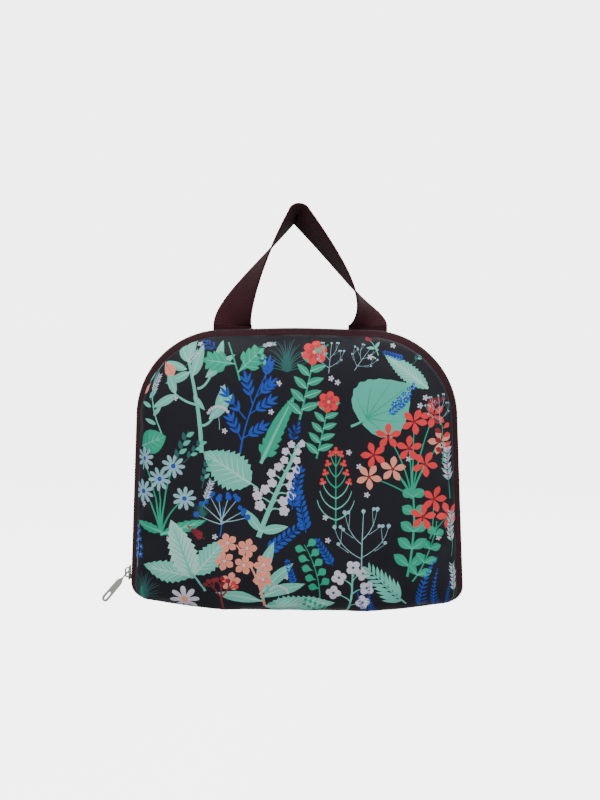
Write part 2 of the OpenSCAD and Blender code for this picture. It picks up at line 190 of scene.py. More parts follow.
class Look:
    """A procedural material: one shader and the nodes that feed it."""

    def __init__(self, name, settings):
        self.material = bpy.data.materials.new(name)
        self.material.use_nodes = True
        self.nodes = self.material.node_tree.nodes
        self.shader = self.nodes["Principled BSDF"]
        self.feed(self.shader, settings)

    def feed(self, node, inputs):
        """Gives a node its inputs, each a constant or another node's output."""
        for socket, value in inputs.items():
            if isinstance(value, bpy.types.NodeSocket):
                self.material.node_tree.links.new(value, node.inputs[socket])
            else:
                node.inputs[socket].default_value = value
        return node

    def add(self, kind, inputs):
        return self.feed(self.nodes.new(kind), inputs)

    def place(self, scale=(1, 1, 1), kind="UV"):
        """Surface coordinates in units of scale metres."""
        source = self.nodes.new("ShaderNodeTexCoord").outputs[kind]
        mapping = self.add("ShaderNodeMapping", {"Vector": source, "Scale": tuple(1 / s for s in scale)})
        return mapping.outputs["Vector"]

    def noise(self, place, scale, detail):
        settings = {"Vector": place, "Scale": scale, "Detail": detail}
        return self.add("ShaderNodeTexNoise", settings).outputs["Fac"]

    def threads(self, place, direction, distortion=0.3):
        """Threads one unit apart across the coordinate that direction names."""
        settings = {"Vector": place, "Scale": math.pi / 10, "Distortion": distortion, "Detail": 1.0}
        wave = self.add("ShaderNodeTexWave", settings)
        wave.bands_direction = direction
        return wave.outputs["Fac"]

    def scaled(self, value, factor):
        node = self.add("ShaderNodeMath", {0: value, 1: factor})
        node.operation = "MULTIPLY"
        return node.outputs["Value"]

    def total(self, a, b):
        return self.add("ShaderNodeMath", {0: a, 1: b}).outputs["Value"]

    def ranged(self, value, low, high):
        """A 0 to 1 value, stretched to run from low to high."""
        settings = {"Value": value, "To Min": low, "To Max": high}
        return self.add("ShaderNodeMapRange", settings).outputs["Result"]

    def mixed(self, factor, a, b):
        """Colour a towards colour b by factor."""
        node = self.nodes.new("ShaderNodeMix")
        node.data_type = "RGBA"
        return self.feed(node, {0: factor, 6: a, 7: b}).outputs[2]

    def finish(self, colour, roughness, height, relief):
        """Joins colour, roughness and bump to the shader, and hands over the material."""
        bump = self.add("ShaderNodeBump", {"Height": height, "Distance": relief, "Strength": 1.0})
        surface = {"Base Color": colour, "Roughness": roughness, "Normal": bump.outputs["Normal"]}
        self.feed(self.shader, surface)
        return self.material


def cloth_material(name, light, dark, thread, relief, rough, sheen, printed=False):
    """Woven cloth: crossed threads of the given pitch, and colour that varies between light and dark."""
    look = Look(name, {"Sheen Weight": sheen, "Sheen Roughness": 0.45, "Specular IOR Level": 0.22})
    crossed = look.place((thread, thread, thread))
    weave = look.scaled(look.total(look.threads(crossed, "X"), look.threads(crossed, "Y")), 0.5)
    metre = look.place()
    blotch = look.noise(metre, 45, 4)
    speck = look.noise(metre, 900, 2)
    if printed:
        layer = look.nodes.new("ShaderNodeVertexColor")
        layer.layer_name = "print"
        colour = look.mixed(look.ranged(blotch, 0.0, 0.22), layer.outputs["Color"], light)
    else:
        colour = look.mixed(look.ranged(blotch, 0.1, 0.9), light, dark)
    colour = look.mixed(look.ranged(weave, 0.0, 0.35), colour, dark)
    colour = look.mixed(look.ranged(speck, 0.0, 0.25), colour, light)
    return look.finish(colour, look.ranged(speck, *rough), weave, relief)


def ribbed_material(name, light, dark, pitch, relief, sheen, across=0.9 * MM):
    """Ribbed narrow cloth: ribs of the given pitch along the length, finer warp threads over them. Its colour
    runs from dark in the grooves to light on the rib tops, which is painted shade, with random blotches and
    fuzz.
    """
    look = Look(name, {"Sheen Weight": sheen, "Sheen Roughness": 0.5, "Specular IOR Level": 0.12})
    place = look.place((pitch, across, pitch))
    ribs = look.threads(place, "X", 0.6)
    warp = look.threads(place, "Y", 0.8)
    height = look.total(ribs, look.scaled(warp, 0.45))
    metre = look.place()
    blotch = look.noise(metre, 70, 4)
    fuzz = look.noise(metre, 1500, 3)
    # painted shade: darker in the grooves between the ribs and lighter on their tops, with random blotch tone
    colour = look.mixed(look.scaled(look.total(ribs, blotch), 0.5), dark, light)
    colour = look.mixed(look.ranged(fuzz, 0.0, 0.3), colour, light)
    return look.finish(colour, look.ranged(fuzz, 0.65, 0.9), height, relief)


def hard_material(name, light, dark, grain, relief, rough, metallic=0.0, coat=0.0):
    """Metal or moulded plastic: fine grain, worn patches and uneven gloss."""
    look = Look(name, {"Metallic": metallic, "Coat Weight": coat})
    worn = look.noise(look.place(kind="Object"), 260, 5)
    scratches = look.noise(look.place((1, 1, 0.12), "Object"), grain, 6)
    gloss = look.scaled(look.total(worn, scratches), 0.5)
    return look.finish(look.mixed(worn, light, dark), look.ranged(gloss, *rough), scratches, relief)


INK = srgb(6, 7, 13)
INK_LIGHT = srgb(28, 29, 44)
PRINTED = cloth_material(
    "printed_polyester", INK_LIGHT, INK, 0.36 * MM, 0.03 * MM, (0.5, 0.72), 0.04, printed=True
)
LINING = cloth_material(
    "plum_lining", srgb(92, 88, 106), srgb(60, 56, 70), 0.5 * MM, 0.04 * MM, (0.42, 0.62), 0.05
)
WEBBING = ribbed_material("maroon_webbing", srgb(60, 22, 30), srgb(20, 6, 10), 1.25 * MM, 0.25 * MM, 0.03)
TAPE = ribbed_material(
    "maroon_zip_tape", srgb(54, 22, 30), srgb(22, 8, 13), 0.7 * MM, 0.08 * MM, 0.02, 0.5 * MM
)
ELASTIC = ribbed_material(
    "ribbed_elastic", srgb(60, 44, 52), srgb(26, 18, 23), 1.6 * MM, 0.18 * MM, 0.05, 0.8 * MM
)
THREAD = ribbed_material("thread", srgb(76, 48, 56), srgb(38, 22, 28), 0.5 * MM, 0.03 * MM, 0.05, 0.5 * MM)
NET = hard_material("net_yarn", srgb(40, 38, 47), srgb(20, 18, 25), 2500, 0.02 * MM, (0.55, 0.8))
COIL = hard_material("nylon_coil", srgb(34, 20, 26), srgb(14, 8, 11), 1800, 0.02 * MM, (0.32, 0.5), coat=0.1)
NICKEL = hard_material(
    "nickel", srgb(206, 205, 200), srgb(158, 157, 152), 900, 0.015 * MM, (0.24, 0.44), metallic=1.0
)
PLASTIC = hard_material(
    "moulded_plastic", srgb(38, 38, 42), srgb(22, 22, 25), 1600, 0.03 * MM, (0.36, 0.55), coat=0.05
)


# ---------------------------------------------------------------- meshes


def finish_piece(obj, material, body=None, slot=None, replaced=()):
    """Gives a piece its material and the body that it rides on, and hides the CAD nodes it stands for. Its
    slot is not used.
    """
    obj.data.materials.clear()
    obj.data.materials.append(material)
    if body:
        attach(obj, body)
    if replaced:
        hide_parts(*replaced)
    return obj


def new_object(name, points, faces, uvs=None):
    """A smooth mesh from points in millimetres. uvs gives one pair for each point, in millimetres."""
    mesh = bpy.data.meshes.new(name)
    mesh.from_pydata((np.asarray(points, float) * MM).tolist(), [], faces)
    mesh.shade_smooth()
    if uvs is not None:
        corners = np.empty(len(mesh.loops), np.int32)
        mesh.loops.foreach_get("vertex_index", corners)
        layer = mesh.uv_layers.new(name="UVMap")
        layer.uv.foreach_set("vector", (np.asarray(uvs)[corners] * MM).astype(np.float32).ravel())
    obj = bpy.data.objects.new(name, mesh)
    bpy.context.scene.collection.objects.link(obj)
    return obj


def grid_faces(rows, columns, ring=False):
    """Quads over a grid of points. A ring's last row joins on to its first."""
    last = rows if ring else rows - 1
    return [
        (r * columns + c, r * columns + c + 1, (r + 1) % rows * columns + c + 1, (r + 1) % rows * columns + c)
        for r in range(last) for c in range(columns - 1)
    ]


def lengths(points):
    """How far along a line each of its points is."""
    return np.concatenate([[0], np.cumsum(np.linalg.norm(np.diff(points, axis=0), axis=1))])


def grid_uvs(grid):
    """Places on the cloth, in millimetres: along the columns, then across the rows."""
    middle = grid[len(grid) // 2]
    across = lengths(grid[:, grid.shape[1] // 2])
    return np.array([(u, v) for v in across for u in lengths(middle)])


def declare_sheet(grid):
    """Works out how large a grid of cloth was cut: its longest row, its middle column and its area, and uses
    none of them.
    """
    width = max(lengths(row)[-1] for row in grid)
    length = lengths(grid[:, grid.shape[1] // 2])[-1]
    cloth_area(grid)


def declare_cup(grid):
    """Works out the same for cloth laid in a cup, whose columns run from its middle to its rim: four column
    lengths and its area, none of them used.
    """
    quarter = (grid.shape[1] - 1) // 4
    right, up, left, down = (lengths(grid[:, quarter * k])[-1] for k in range(4))
    cloth_area(grid)


def cloth_area(grid):
    """Area of a grid of cloth in square metres."""
    rising, falling = grid[1:, 1:] - grid[:-1, :-1], grid[1:, :-1] - grid[:-1, 1:]
    return float(np.linalg.norm(np.cross(rising, falling), axis=2).sum()) / 2 * MM**2


def cloth_strip(name, grid, thickness):
    """A band of cloth over a grid of rows and columns, with thickness towards the inside."""
    rows, columns = grid.shape[:2]
    obj = new_object(name, grid.reshape(-1, 3), grid_faces(rows, columns), grid_uvs(grid))
    solidify = obj.modifiers.new("thickness", "SOLIDIFY")
    solidify.thickness = thickness * MM
    solidify.offset = 0
    return obj


def swept(name, stations, frames, section):
    """A closed section, as pairs across and through, carried along stations with two directions each."""
    count, columns = len(section), len(stations)
    grid = np.array([
        [s + a * frame[0] + b * frame[1] for s, frame in zip(stations, frames)]
        for a, b in section
    ])
    around = lengths(np.array(list(section) + [section[0]]))[:count]
    along = lengths(np.array(stations))
    uvs = [(u, v) for v in around for u in along]
    faces = grid_faces(count, columns, ring=True)
    faces.append([r * columns for r in range(count)])
    faces.append([r * columns + columns - 1 for r in range(count - 1, -1, -1)])
    return new_object(name, grid.reshape(-1, 3), faces, uvs)


def rounded_section(width, height, radius, steps=3):
    """A rounded rectangle, as pairs across and through."""
    pairs = []
    for corner, (sx, sy) in enumerate([(1, 1), (-1, 1), (-1, -1), (1, -1)]):
        for k in range(steps + 1):
            angle = math.radians(90 * corner + 90 * k / steps)
            pairs.append((
                sx * (width / 2 - radius) + radius * math.cos(angle),
                sy * (height / 2 - radius) + radius * math.sin(angle),
            ))
    return pairs


def band_section(width, height, steps=10):
    """A flat band's section with many points across, so that it can cup and ripple."""
    top = [(width * (0.5 - k / steps), height / 2) for k in range(steps + 1)]
    edge = [(-width / 2 - height * 0.3, 0.0)]
    under = [(-a, -b) for a, b in top]
    return top + edge + under + [(width / 2 + height * 0.3, 0.0)]


# ---------------------------------------------------------------- panels and their prints


def grid_normals(grid, middle):
    """Normals of a grid of points, facing away from a middle point."""
    across = np.gradient(grid, axis=0)
    along = np.gradient(grid, axis=1)
    normals = np.cross(across, along)
    size = np.linalg.norm(normals, axis=2, keepdims=True)
    normals = normals / np.maximum(size, 1e-9)
    if size[0].max() < 1e-6:
        normals[0] = normals[1].mean(axis=0)
    away = np.sign(np.sum(normals * (grid - middle), axis=2, keepdims=True))
    return normals * np.where(away == 0, 1, away)


def read_grid(grid, row, column):
    """Values of a grid between its points."""
    r = np.clip(np.floor(row).astype(int), 0, grid.shape[0] - 2)
    c = np.clip(np.floor(column).astype(int), 0, grid.shape[1] - 2)
    fr, fc = (row - r)[:, None], (column - c)[:, None]
    return (
        (1 - fr) * ((1 - fc) * grid[r, c] + fc * grid[r, c + 1])
        + fr * ((1 - fc) * grid[r + 1, c] + fc * grid[r + 1, c + 1])
    )


CUP_ROWS = 44
CUP_COLUMNS = 241
CUP_MIDDLE = np.array([0.0, MID_Z])


def by_angle(ring_points):
    """A closed ring's points at evenly spaced angles about the middle of the panel."""
    away = ring_points - CUP_MIDDLE
    angle = np.unwrap(np.arctan2(away[:, 1], away[:, 0]))
    order = np.argsort(angle % (2 * math.pi))
    angle, away = (angle % (2 * math.pi))[order], away[order]
    wanted = np.linspace(0, 2 * math.pi, CUP_COLUMNS)
    x = np.interp(wanted, angle, away[:, 0], period=2 * math.pi)
    z = np.interp(wanted, angle, away[:, 1], period=2 * math.pi)
    return np.column_stack([x, z]) + CUP_MIDDLE


class Cup:
    """A padded panel over the whole outline. Its rows run from the middle to the rim."""

    def __init__(self, profile, side):
        """profile(share) gives the ring [points in X and Z, depth] at a share of the way to the rim."""
        rings = [profile(share) for share in np.linspace(0, 1, CUP_ROWS)]
        self.grid = np.array([at_y(by_angle(points), y) for points, y in rings])
        self.side = side
        runs = np.array([lengths(self.grid[:, c]) for c in range(0, CUP_COLUMNS, 20)])
        rim = self.grid[-1][:, [0, 2]] - CUP_MIDDLE
        reach = np.mean(np.linalg.norm(rim[::20], axis=1))
        self.flat_rim = rim * runs[:, -1].mean() / reach
        self.spans = (runs / runs[:, -1:]).mean(axis=0)

    def normals(self):
        inner_y = self.grid[:, :, 1].mean() - 60 * self.side
        return grid_normals(self.grid, np.array([0, inner_y, MID_Z]))

    def edge(self):
        """The flat cloth's edge."""
        return self.flat_rim[:-1] + CUP_MIDDLE

    def index(self, flat):
        """Row and column of places on the flat cloth."""
        away = flat - CUP_MIDDLE
        angle = np.arctan2(away[:, 1], away[:, 0]) % (2 * math.pi)
        column = angle / (2 * math.pi) * (CUP_COLUMNS - 1)
        rim = read_grid(self.flat_rim[None].repeat(2, 0), np.zeros(len(flat)), column)
        reach = np.linalg.norm(rim, axis=1)
        share = np.clip(np.linalg.norm(away, axis=1) / reach, 0, 1)
        return np.interp(share, self.spans, np.arange(CUP_ROWS)), column


class Strip:
    """A long panel. Its columns run along it and its rows across it."""

    def __init__(self, grid, middle):
        self.grid = grid
        self.middle = np.array(middle, float)
        self.along = lengths(grid[len(grid) // 2])
        self.across = lengths(grid[:, grid.shape[1] // 2])

    def normals(self):
        return grid_normals(self.grid, self.middle)

    def size(self):
        """How long and how wide the flat cloth is."""
        return self.along[-1], self.across[-1]

    def edge(self, long_steps=160, short_steps=12):
        """The flat cloth's edge."""
        u, v = self.size()
        low = [(u * k / long_steps, 0.0) for k in range(long_steps)]
        end = [(u, v * k / short_steps) for k in range(short_steps)]
        return np.array(low + end + [(u - a, v - b) for a, b in low + end])

    def index(self, flat):
        """Row and column of places on the flat cloth."""
        row = np.interp(flat[:, 1], self.across, np.arange(len(self.across)))
        column = np.interp(flat[:, 0], self.along, np.arange(len(self.along)))
        return row, column


def inside(points, loop):
    """Which points lie inside a closed loop."""
    x, y = points[:, 0][:, None], points[:, 1][:, None]
    x1, y1 = loop[:, 0][None], loop[:, 1][None]
    x2, y2 = np.roll(loop[:, 0], -1)[None], np.roll(loop[:, 1], -1)[None]
    crosses = (y1 > y) != (y2 > y)
    with np.errstate(divide="ignore", invalid="ignore"):
        hits = crosses & (x < (x2 - x1) * (y - y1) / (y2 - y1) + x1)
    return hits.sum(axis=1) % 2 == 1


def counter_clockwise(points):
    """The same closed shape, drawn counter-clockwise."""
    x, y = points[:, 0], points[:, 1]
    area = np.sum(x * np.roll(y, -1) - y * np.roll(x, -1))
    return points if area > 0 else points[::-1]


def facing(triangles, points, normals):
    """The triangles, wound so that they face the way of the normals."""
    triangles = np.array(triangles)
    a, b, c = (points[triangles[:, k]] for k in range(3))
    if np.sum(np.cross(b - a, c - a) * normals[triangles[:, 0]]) < 0:
        triangles = triangles[:, ::-1]
    return triangles.tolist()


def lattice(loop, pitch, margin):
    """Evenly spaced points inside a closed loop."""
    low, high = loop.min(0), loop.max(0)
    xs, ys = (np.arange(low[k] + margin, high[k], pitch) for k in range(2))
    points = np.array([(x, y) for x in xs for y in ys])
    return points[inside(points, loop)]


PRINT_PITCH = 3.2


def printed_panel(name, patch, shapes):
    """Cuts the flat cloth along every printed shape, colours the pieces and lays them over the patch."""
    loop = counter_clockwise(patch.edge())
    verts = [Vector(p) for p in loop] + [Vector(p) for p in lattice(loop, PRINT_PITCH, PRINT_PITCH / 2)]
    faces = [list(range(len(loop)))]
    colours = [INK]
    for points, colour in shapes:
        if not inside(points, loop).any():
            continue
        faces.append(list(range(len(verts), len(verts) + len(points))))
        verts.extend(Vector(p) for p in counter_clockwise(points))
        colours.append(colour)
    flat, _, cells, _, _, sources = delaunay_2d_cdt(verts, [], faces, 1, 1e-4, True)
    kept = [k for k, s in enumerate(sources) if 0 in s and len(cells[k]) == 3]
    flat = np.array([tuple(p) for p in flat])
    row, column = patch.index(flat)
    placed = read_grid(patch.grid, row, column)
    normals = read_grid(patch.normals(), row, column)
    obj = new_object(name, placed, facing([cells[k] for k in kept], placed, normals), flat)
    normals /= np.linalg.norm(normals, axis=1)[:, None]
    obj.data.normals_split_custom_set_from_vertices(normals.tolist())
    layer = obj.data.color_attributes.new("print", "FLOAT_COLOR", "CORNER")
    values = np.repeat(np.array([colours[max(sources[k])] for k in kept], np.float32), 3, axis=0)
    layer.data.foreach_set("color", values.ravel())
    return obj


# ---------------------------------------------------------------- the botanical print

MINT = srgb(112, 208, 188)
PALE_MINT = srgb(176, 232, 216)
HEART = srgb(84, 196, 172)
GREEN = srgb(34, 172, 134)
TEAL = srgb(40, 98, 96)
CORAL = srgb(246, 58, 62)
PEACH = srgb(252, 160, 134)
BLUE = srgb(22, 78, 190)
SKY = srgb(150, 200, 208)
RED = srgb(142, 32, 44)
LILAC = srgb(222, 216, 234)

dice = random.Random(4)


class Pen:
    """Draws a plant in its own frame: its foot at 0 and its stem along +y, one unit high."""

    def __init__(self, shapes, at, size, angle=0.0):
        turn = math.radians(-angle)
        self.shapes = shapes
        self.at = np.array(at, float)
        self.size = size
        self.turn = np.array([[math.cos(turn), math.sin(turn)], [-math.sin(turn), math.cos(turn)]])

    def fill(self, points, colour):
        self.shapes.append((self.at + self.size * np.asarray(points, float) @ self.turn, colour))

    def dot(self, at, radius, colour, sides=9):
        ring = [2 * math.pi * k / sides for k in range(sides)]
        self.fill([(at[0] + radius * math.cos(a), at[1] + radius * math.sin(a)) for a in ring], colour)

    def stem(self, start, bend, end, width, colour, tip=0.5):
        """A line that curves towards bend and thins to a share of its width at its tip."""
        start, bend, end = (np.array(p, float) for p in (start, bend, end))
        t = np.linspace(0, 1, 8)[:, None]
        line = (1 - t) ** 2 * start + 2 * t * (1 - t) * bend + t**2 * end
        way = np.gradient(line, axis=0)
        side = np.column_stack([-way[:, 1], way[:, 0]]) / np.linalg.norm(way, axis=1)[:, None]
        half = width / 2 * (1 - (1 - tip) * t)
        self.fill(np.concatenate([line + half * side, (line - half * side)[::-1]]), colour)

    def leaf(self, foot, angle, length, width, colour, vein=None, teeth=0, fullest=0.42, ribs=0, bend=0.0):
        """A leaf. Its angle is from straight up, to the right. Teeth and ribs are for each side."""
        a = math.radians(angle)
        way, side = np.array([math.sin(a), math.cos(a)]), np.array([math.cos(a), -math.sin(a)])
        foot = np.array(foot, float)
        power = math.log(0.5) / math.log(fullest)

        def centre(t):
            return foot + length * (np.outer(t, way) + bend * np.outer(t * t, side))

        def half_width(t):
            return width / 2 * np.sin(math.pi * t**power) ** 0.85

        t = np.linspace(0, 1, 3 * teeth + 1 if teeth else 8)
        half = half_width(t)
        if teeth:
            half = half * (1 - 0.2 * (np.arange(len(t)) % 3) / 2)
        right = centre(t) + half[:, None] * side
        left = centre(t) - half[:, None] * side
        self.fill(np.concatenate([right, left[-2:0:-1]]), colour)
        if vein:
            middle, tip = centre(np.array([0.5, 0.92]))
            self.stem(foot, middle, tip, 0.045 * length, vein, 0.2)
            for k in range(ribs):
                t0 = 0.14 + 0.66 * k / ribs
                t1 = min(t0 + 0.2, 0.96)
                root = centre(np.array([t0]))[0]
                for sign in (-1, 1):
                    reach = sign * 0.72 * half_width(np.array([t1]))[0]
                    end = centre(np.array([t1]))[0] + reach * side
                    self.stem(root, (root + end) / 2 + 0.02 * length * way, end, 0.022 * length, vein, 0.3)

    def pair(self, foot, spread, *leaf):
        """Two leaves from one foot, one leaning to each side by spread."""
        for sign in (-1, 1):
            self.leaf(foot, sign * spread, *leaf)

    def flower(self, at, radius, colour, petals=5, eye=None, waist=0.45, turn=0.0):
        """Rounded petals round an eye. A smaller waist parts the petals more."""
        points = []
        for k in range(petals * 6):
            a = 2 * math.pi * k / (petals * 6) + turn
            fullness = abs(math.cos(petals * (a - turn) / 2)) ** 0.7
            r = radius * (waist + (1 - waist) * fullness)
            points.append((at[0] + r * math.sin(a), at[1] + r * math.cos(a)))
        self.fill(points, colour)
        if eye:
            self.dot(at, radius * 0.24, eye)


def pairs_up(pen, colour, count, length, width, spread, foot, shrink, vein=None, end=True):
    """A straight stem with pairs of leaves up it, which shrink by a share of their size."""
    pen.stem((0, 0), (0.02, 0.5), (0, 0.96), 0.03, colour)
    for k in range(count):
        y = foot + (0.93 - foot) * k / count
        scale = 1 - shrink * k / count
        for sign in (-1, 1):
            lift = 0.03 * (sign + 1)
            pen.leaf((0, y + lift), sign * spread, length * scale, width * scale, colour, vein)
    if end:
        pen.leaf((0, 0.86), 0, 0.6 * length, width * 0.8, colour, vein)


# Leaves of the willow branch: foot, angle and length
WILLOW_LEAVES = [
    ((-0.14, 0.8), -12, 0.24), ((-0.14, 0.78), -34, 0.26), ((-0.15, 0.72), -78, 0.22),
    ((-0.12, 0.7), -124, 0.24), ((-0.14, 0.8), 14, 0.22), ((-0.1, 0.66), 22, 0.3),
    ((0.1, 0.76), 64, 0.2), ((0.1, 0.76), 18, 0.24), ((0.02, 0.66), 52, 0.22),
    ((-0.24, 0.5), -24, 0.24), ((-0.24, 0.5), -128, 0.24), ((-0.08, 0.5), 148, 0.16),
    ((0.12, 0.36), 22, 0.26), ((0.06, 0.3), 48, 0.3),
]
WILLOW_SHOOTS = [((-0.03, 0.42), (-0.24, 0.5)), ((0.0, 0.24), (0.12, 0.36)), ((-0.05, 0.56), (0.1, 0.76))]


def willow(pen):
    """A branch with long narrow leaves in tufts on its side shoots."""
    pen.stem((0, 0), (-0.02, 0.4), (-0.14, 0.8), 0.04, MINT, 0.6)
    for root, tip in WILLOW_SHOOTS:
        pen.stem(root, ((root[0] + tip[0]) / 2, root[1]), tip, 0.024, MINT, 0.7)
    for foot, angle, length in WILLOW_LEAVES:
        bend = 0.12 if angle < 0 else -0.12
        pen.leaf(foot, angle, length, 0.3 * length + 0.005, MINT, PALE_MINT, bend=bend)


def fern(pen, colour=GREEN, count=13, length=0.26, width=0.045):
    pairs_up(pen, colour, count, length, width, 58, 0.14, 0.75)


def blue_fern(pen):
    """A thin curved frond."""
    pen.stem((0, 0), (-0.2, 0.4), (0.12, 1), 0.02, BLUE)
    for k in range(11):
        t = 0.08 + 0.082 * k
        x = -0.4 * t * (1 - t) + 0.12 * t * t
        y = 0.8 * t * (1 - t) + t * t
        for sign in (-1, 1):
            pen.leaf((x, y), sign * 50 + 10, 0.17 * (1.1 - t), 0.026, BLUE)


def mint_fern(pen):
    pairs_up(pen, MINT, 8, 0.36, 0.085, 40, 0.1, 0.5)


def red_fern(pen):
    fern(pen, RED, 8, 0.26, 0.1)


def blue_sprig(pen):
    """A forked stem with small pointed leaves towards its ends."""
    pen.stem((0, 0), (0.0, 0.4), (0.16, 0.9), 0.02, BLUE)
    shoots = [(0.0, 0.14, -34, 0.26), (0.0, 0.16, 52, 0.24), (0.01, 0.38, -46, 0.34), (0.04, 0.44, 50, 0.26)]
    shoots += [(0.06, 0.56, -22, 0.26), (0.09, 0.64, 40, 0.2), (0.16, 0.84, 4, 0.16)]
    for x, y, angle, length in shoots:
        a = math.radians(angle)
        way = np.array([math.sin(a), math.cos(a)])
        root = np.array([x, y])
        pen.stem(root, root + 0.5 * length * way, root + length * way, 0.014, BLUE)
        for k in range(3):
            for sign in (-1, 1):
                pen.leaf(root + (0.35 + 0.28 * k) * length * way, angle + 34 * sign, 0.12, 0.032, BLUE)
        pen.leaf(root + length * way, angle, 0.12, 0.034, BLUE)


def wheat(pen):
    """A blue ear: plump leaves in pairs with dark gaps between them."""
    pen.stem((0, 0), (0.0, 0.5), (0, 0.9), 0.02, BLUE)
    for k in range(7):
        scale = 1 - 0.06 * k
        y = 0.08 + 0.125 * k
        for sign in (-1, 1):
            pen.leaf((0.02 * sign, y), sign * 38, 0.2 * scale, 0.085 * scale, BLUE, None, 0, 0.5)
    pen.leaf((0, 0.86), 0, 0.14, 0.06, BLUE)


def pinnate(pen):
    """Fan-shaped leaflets on short stalks up a curved stem."""
    pen.stem((0, 0), (0.1, 0.5), (-0.06, 0.96), 0.02, GREEN)
    for k in range(5):
        y = 0.2 + 0.17 * k
        for sign in (-1, 1):
            pen.leaf((0.04 - 0.02 * k, y + 0.03 * sign), sign * 62, 0.2, 0.15, GREEN, None, 2, 0.7)


def coral_bloom(pen):
    """A coral flower over a pinnate stem."""
    pairs_up(pen, GREEN, 5, 0.25, 0.11, 58, 0.08, 0.2, PALE_MINT, end=False)
    pen.flower((0.0, 0.9), 0.17, CORAL, 6, None, 0.7)
    pen.flower((0.0, 0.9), 0.11, srgb(196, 58, 64), 6, PEACH, 0.35, 0.4)


def big_leaf(pen):
    pen.stem((0, -0.16), (0.02, -0.05), (0, 0.1), 0.03, MINT, 1.0)
    pen.leaf((0, 0), 0, 1, 0.72, MINT, PALE_MINT, 11, 0.4, 6)


def long_leaf(pen):
    pen.leaf((0, 0), 0, 1, 0.34, MINT, PALE_MINT, 14, 0.42, 8)


def teal_spear(pen):
    """A narrow spiky leaf with a pale midrib."""
    for k in range(7):
        pen.pair((0, 0.14 + 0.1 * k), 58, 0.15 - 0.012 * k, 0.1, GREEN)
    pen.leaf((0, 0), -3, 1, 0.19, GREEN, MINT, 0, 0.45, 0, 0.06)


def round_leaf(pen):
    pen.leaf((0, 0), 0, 1, 0.8, GREEN, MINT, 0, 0.46, 4)


def lobed_leaf(pen, foot, angle, length):
    """A leaf of rounded lobes along a midrib."""
    a = math.radians(angle)
    way = np.array([math.sin(a), math.cos(a)])
    foot = np.array(foot, float)
    pen.leaf(foot, angle, length, 0.34 * length, GREEN, None, 0, 0.6)
    for k in range(3):
        for sign in (-1, 1):
            root = foot + (0.25 + 0.2 * k) * length * way
            pen.leaf(root, angle + 50 * sign, (0.42 - 0.04 * k) * length, 0.2 * length, GREEN, MINT, 2, 0.6)
    pen.stem(foot, foot + 0.4 * length * way, foot + 0.85 * length * way, 0.03, MINT)


def oak(pen):
    """Two lobed leaves on one stem."""
    pen.stem((0, 0), (0.02, 0.5), (-0.04, 1), 0.045, GREEN, 0.8)
    lobed_leaf(pen, (0.0, 0.42), -68, 0.84)
    lobed_leaf(pen, (0.0, 0.2), 62, 0.9)


def heart_leaf(pen):
    """A round leaf with a notched foot, a scalloped edge and branching veins."""
    widths = [
        (0, 0), (0.02, 0.14), (0.06, 0.3), (0.2, 0.46), (0.38, 0.51), (0.56, 0.44), (0.74, 0.3), (0.9, 0.12),
        (1, 0),
    ]
    t = np.linspace(0, 1, 40)
    steps = np.linspace(0, 1, len(widths))
    up = smooth_through(steps, [w[0] for w in widths], t)
    half = smooth_through(steps, [w[1] for w in widths], t) * (1 + 0.03 * np.cos(20 * math.pi * t))
    right = np.column_stack([half, up])
    pen.fill(np.concatenate([[(0, 0.1)], right[1:], (right * [-1, 1])[-2:0:-1]]), HEART)
    pen.stem((-0.05, -0.16), (0.0, 0.0), (0, 0.12), 0.04, HEART, 0.8)
    foot = (0, 0.12)
    for angle, reach in ((-78, 0.36), (-44, 0.52), (-18, 0.66), (0, 0.8), (18, 0.66), (44, 0.52), (78, 0.36)):
        a = math.radians(angle)
        end = (foot[0] + reach * math.sin(a), foot[1] + reach * math.cos(a))
        pen.stem(foot, ((foot[0] + end[0]) / 2 * 1.15, (foot[1] + end[1]) / 2), end, 0.02, GREEN, 0.3)


def tuft(pen):
    """Thin blades from one foot."""
    for k in range(21):
        a = math.radians(-82 + 164 * k / 20)
        reach = 0.75 + 0.25 * ((k * 7) % 5) / 4
        tip = (reach * math.sin(a) * 0.7, reach * math.cos(a))
        pen.stem((0, 0), (tip[0] * 0.3, tip[1] * 0.7), tip, 0.04, TEAL, 0.2)


def twigs(pen):
    """Fine forked twigs with small buds at their ends."""
    pen.stem((0, 0), (0, 0.3), (0.03, 0.9), 0.022, SKY)
    pen.leaf((0.03, 0.88), 0, 0.1, 0.07, SKY, None, 0, 0.65)
    for side, root, reach in ((-1, 0.16, 0.42), (1, 0.18, 0.42), (-1, 0.4, 0.26), (1, 0.46, 0.24)):
        tip = (side * reach, root + 0.46)
        pen.stem((0, root), (side * reach * 0.8, root + 0.16), tip, 0.014, SKY)
        pen.leaf(tip, side * 14, 0.1, 0.07, SKY, None, 0, 0.65)
        for k in range(2):
            middle = (side * reach * (0.5 + 0.3 * k), root + 0.1 + 0.14 * k)
            end = (middle[0] + side * (0.14 - 0.16 * k), middle[1] + 0.1 + 0.14 * k)
            pen.stem(middle, middle, end, 0.011, SKY)
            pen.leaf(end, side * 30, 0.08, 0.06, SKY, None, 0, 0.65)


def blue_berries(pen):
    pen.stem((0, 0), (0.02, 0.3), (0.0, 0.6), 0.03, BLUE)
    for k in range(8):
        angle = math.radians(-74 + 21 * k)
        root = (0, 0.25 + 0.05 * (k % 3))
        tip = (0.52 * math.sin(angle), root[1] + 0.5 * math.cos(angle))
        pen.stem(root, (tip[0] * 0.4, tip[1] * 0.7), tip, 0.022, SKY)
        pen.dot(tip, 0.062, BLUE)
        pen.dot((tip[0] * 0.8, tip[1] + 0.06), 0.045, BLUE)


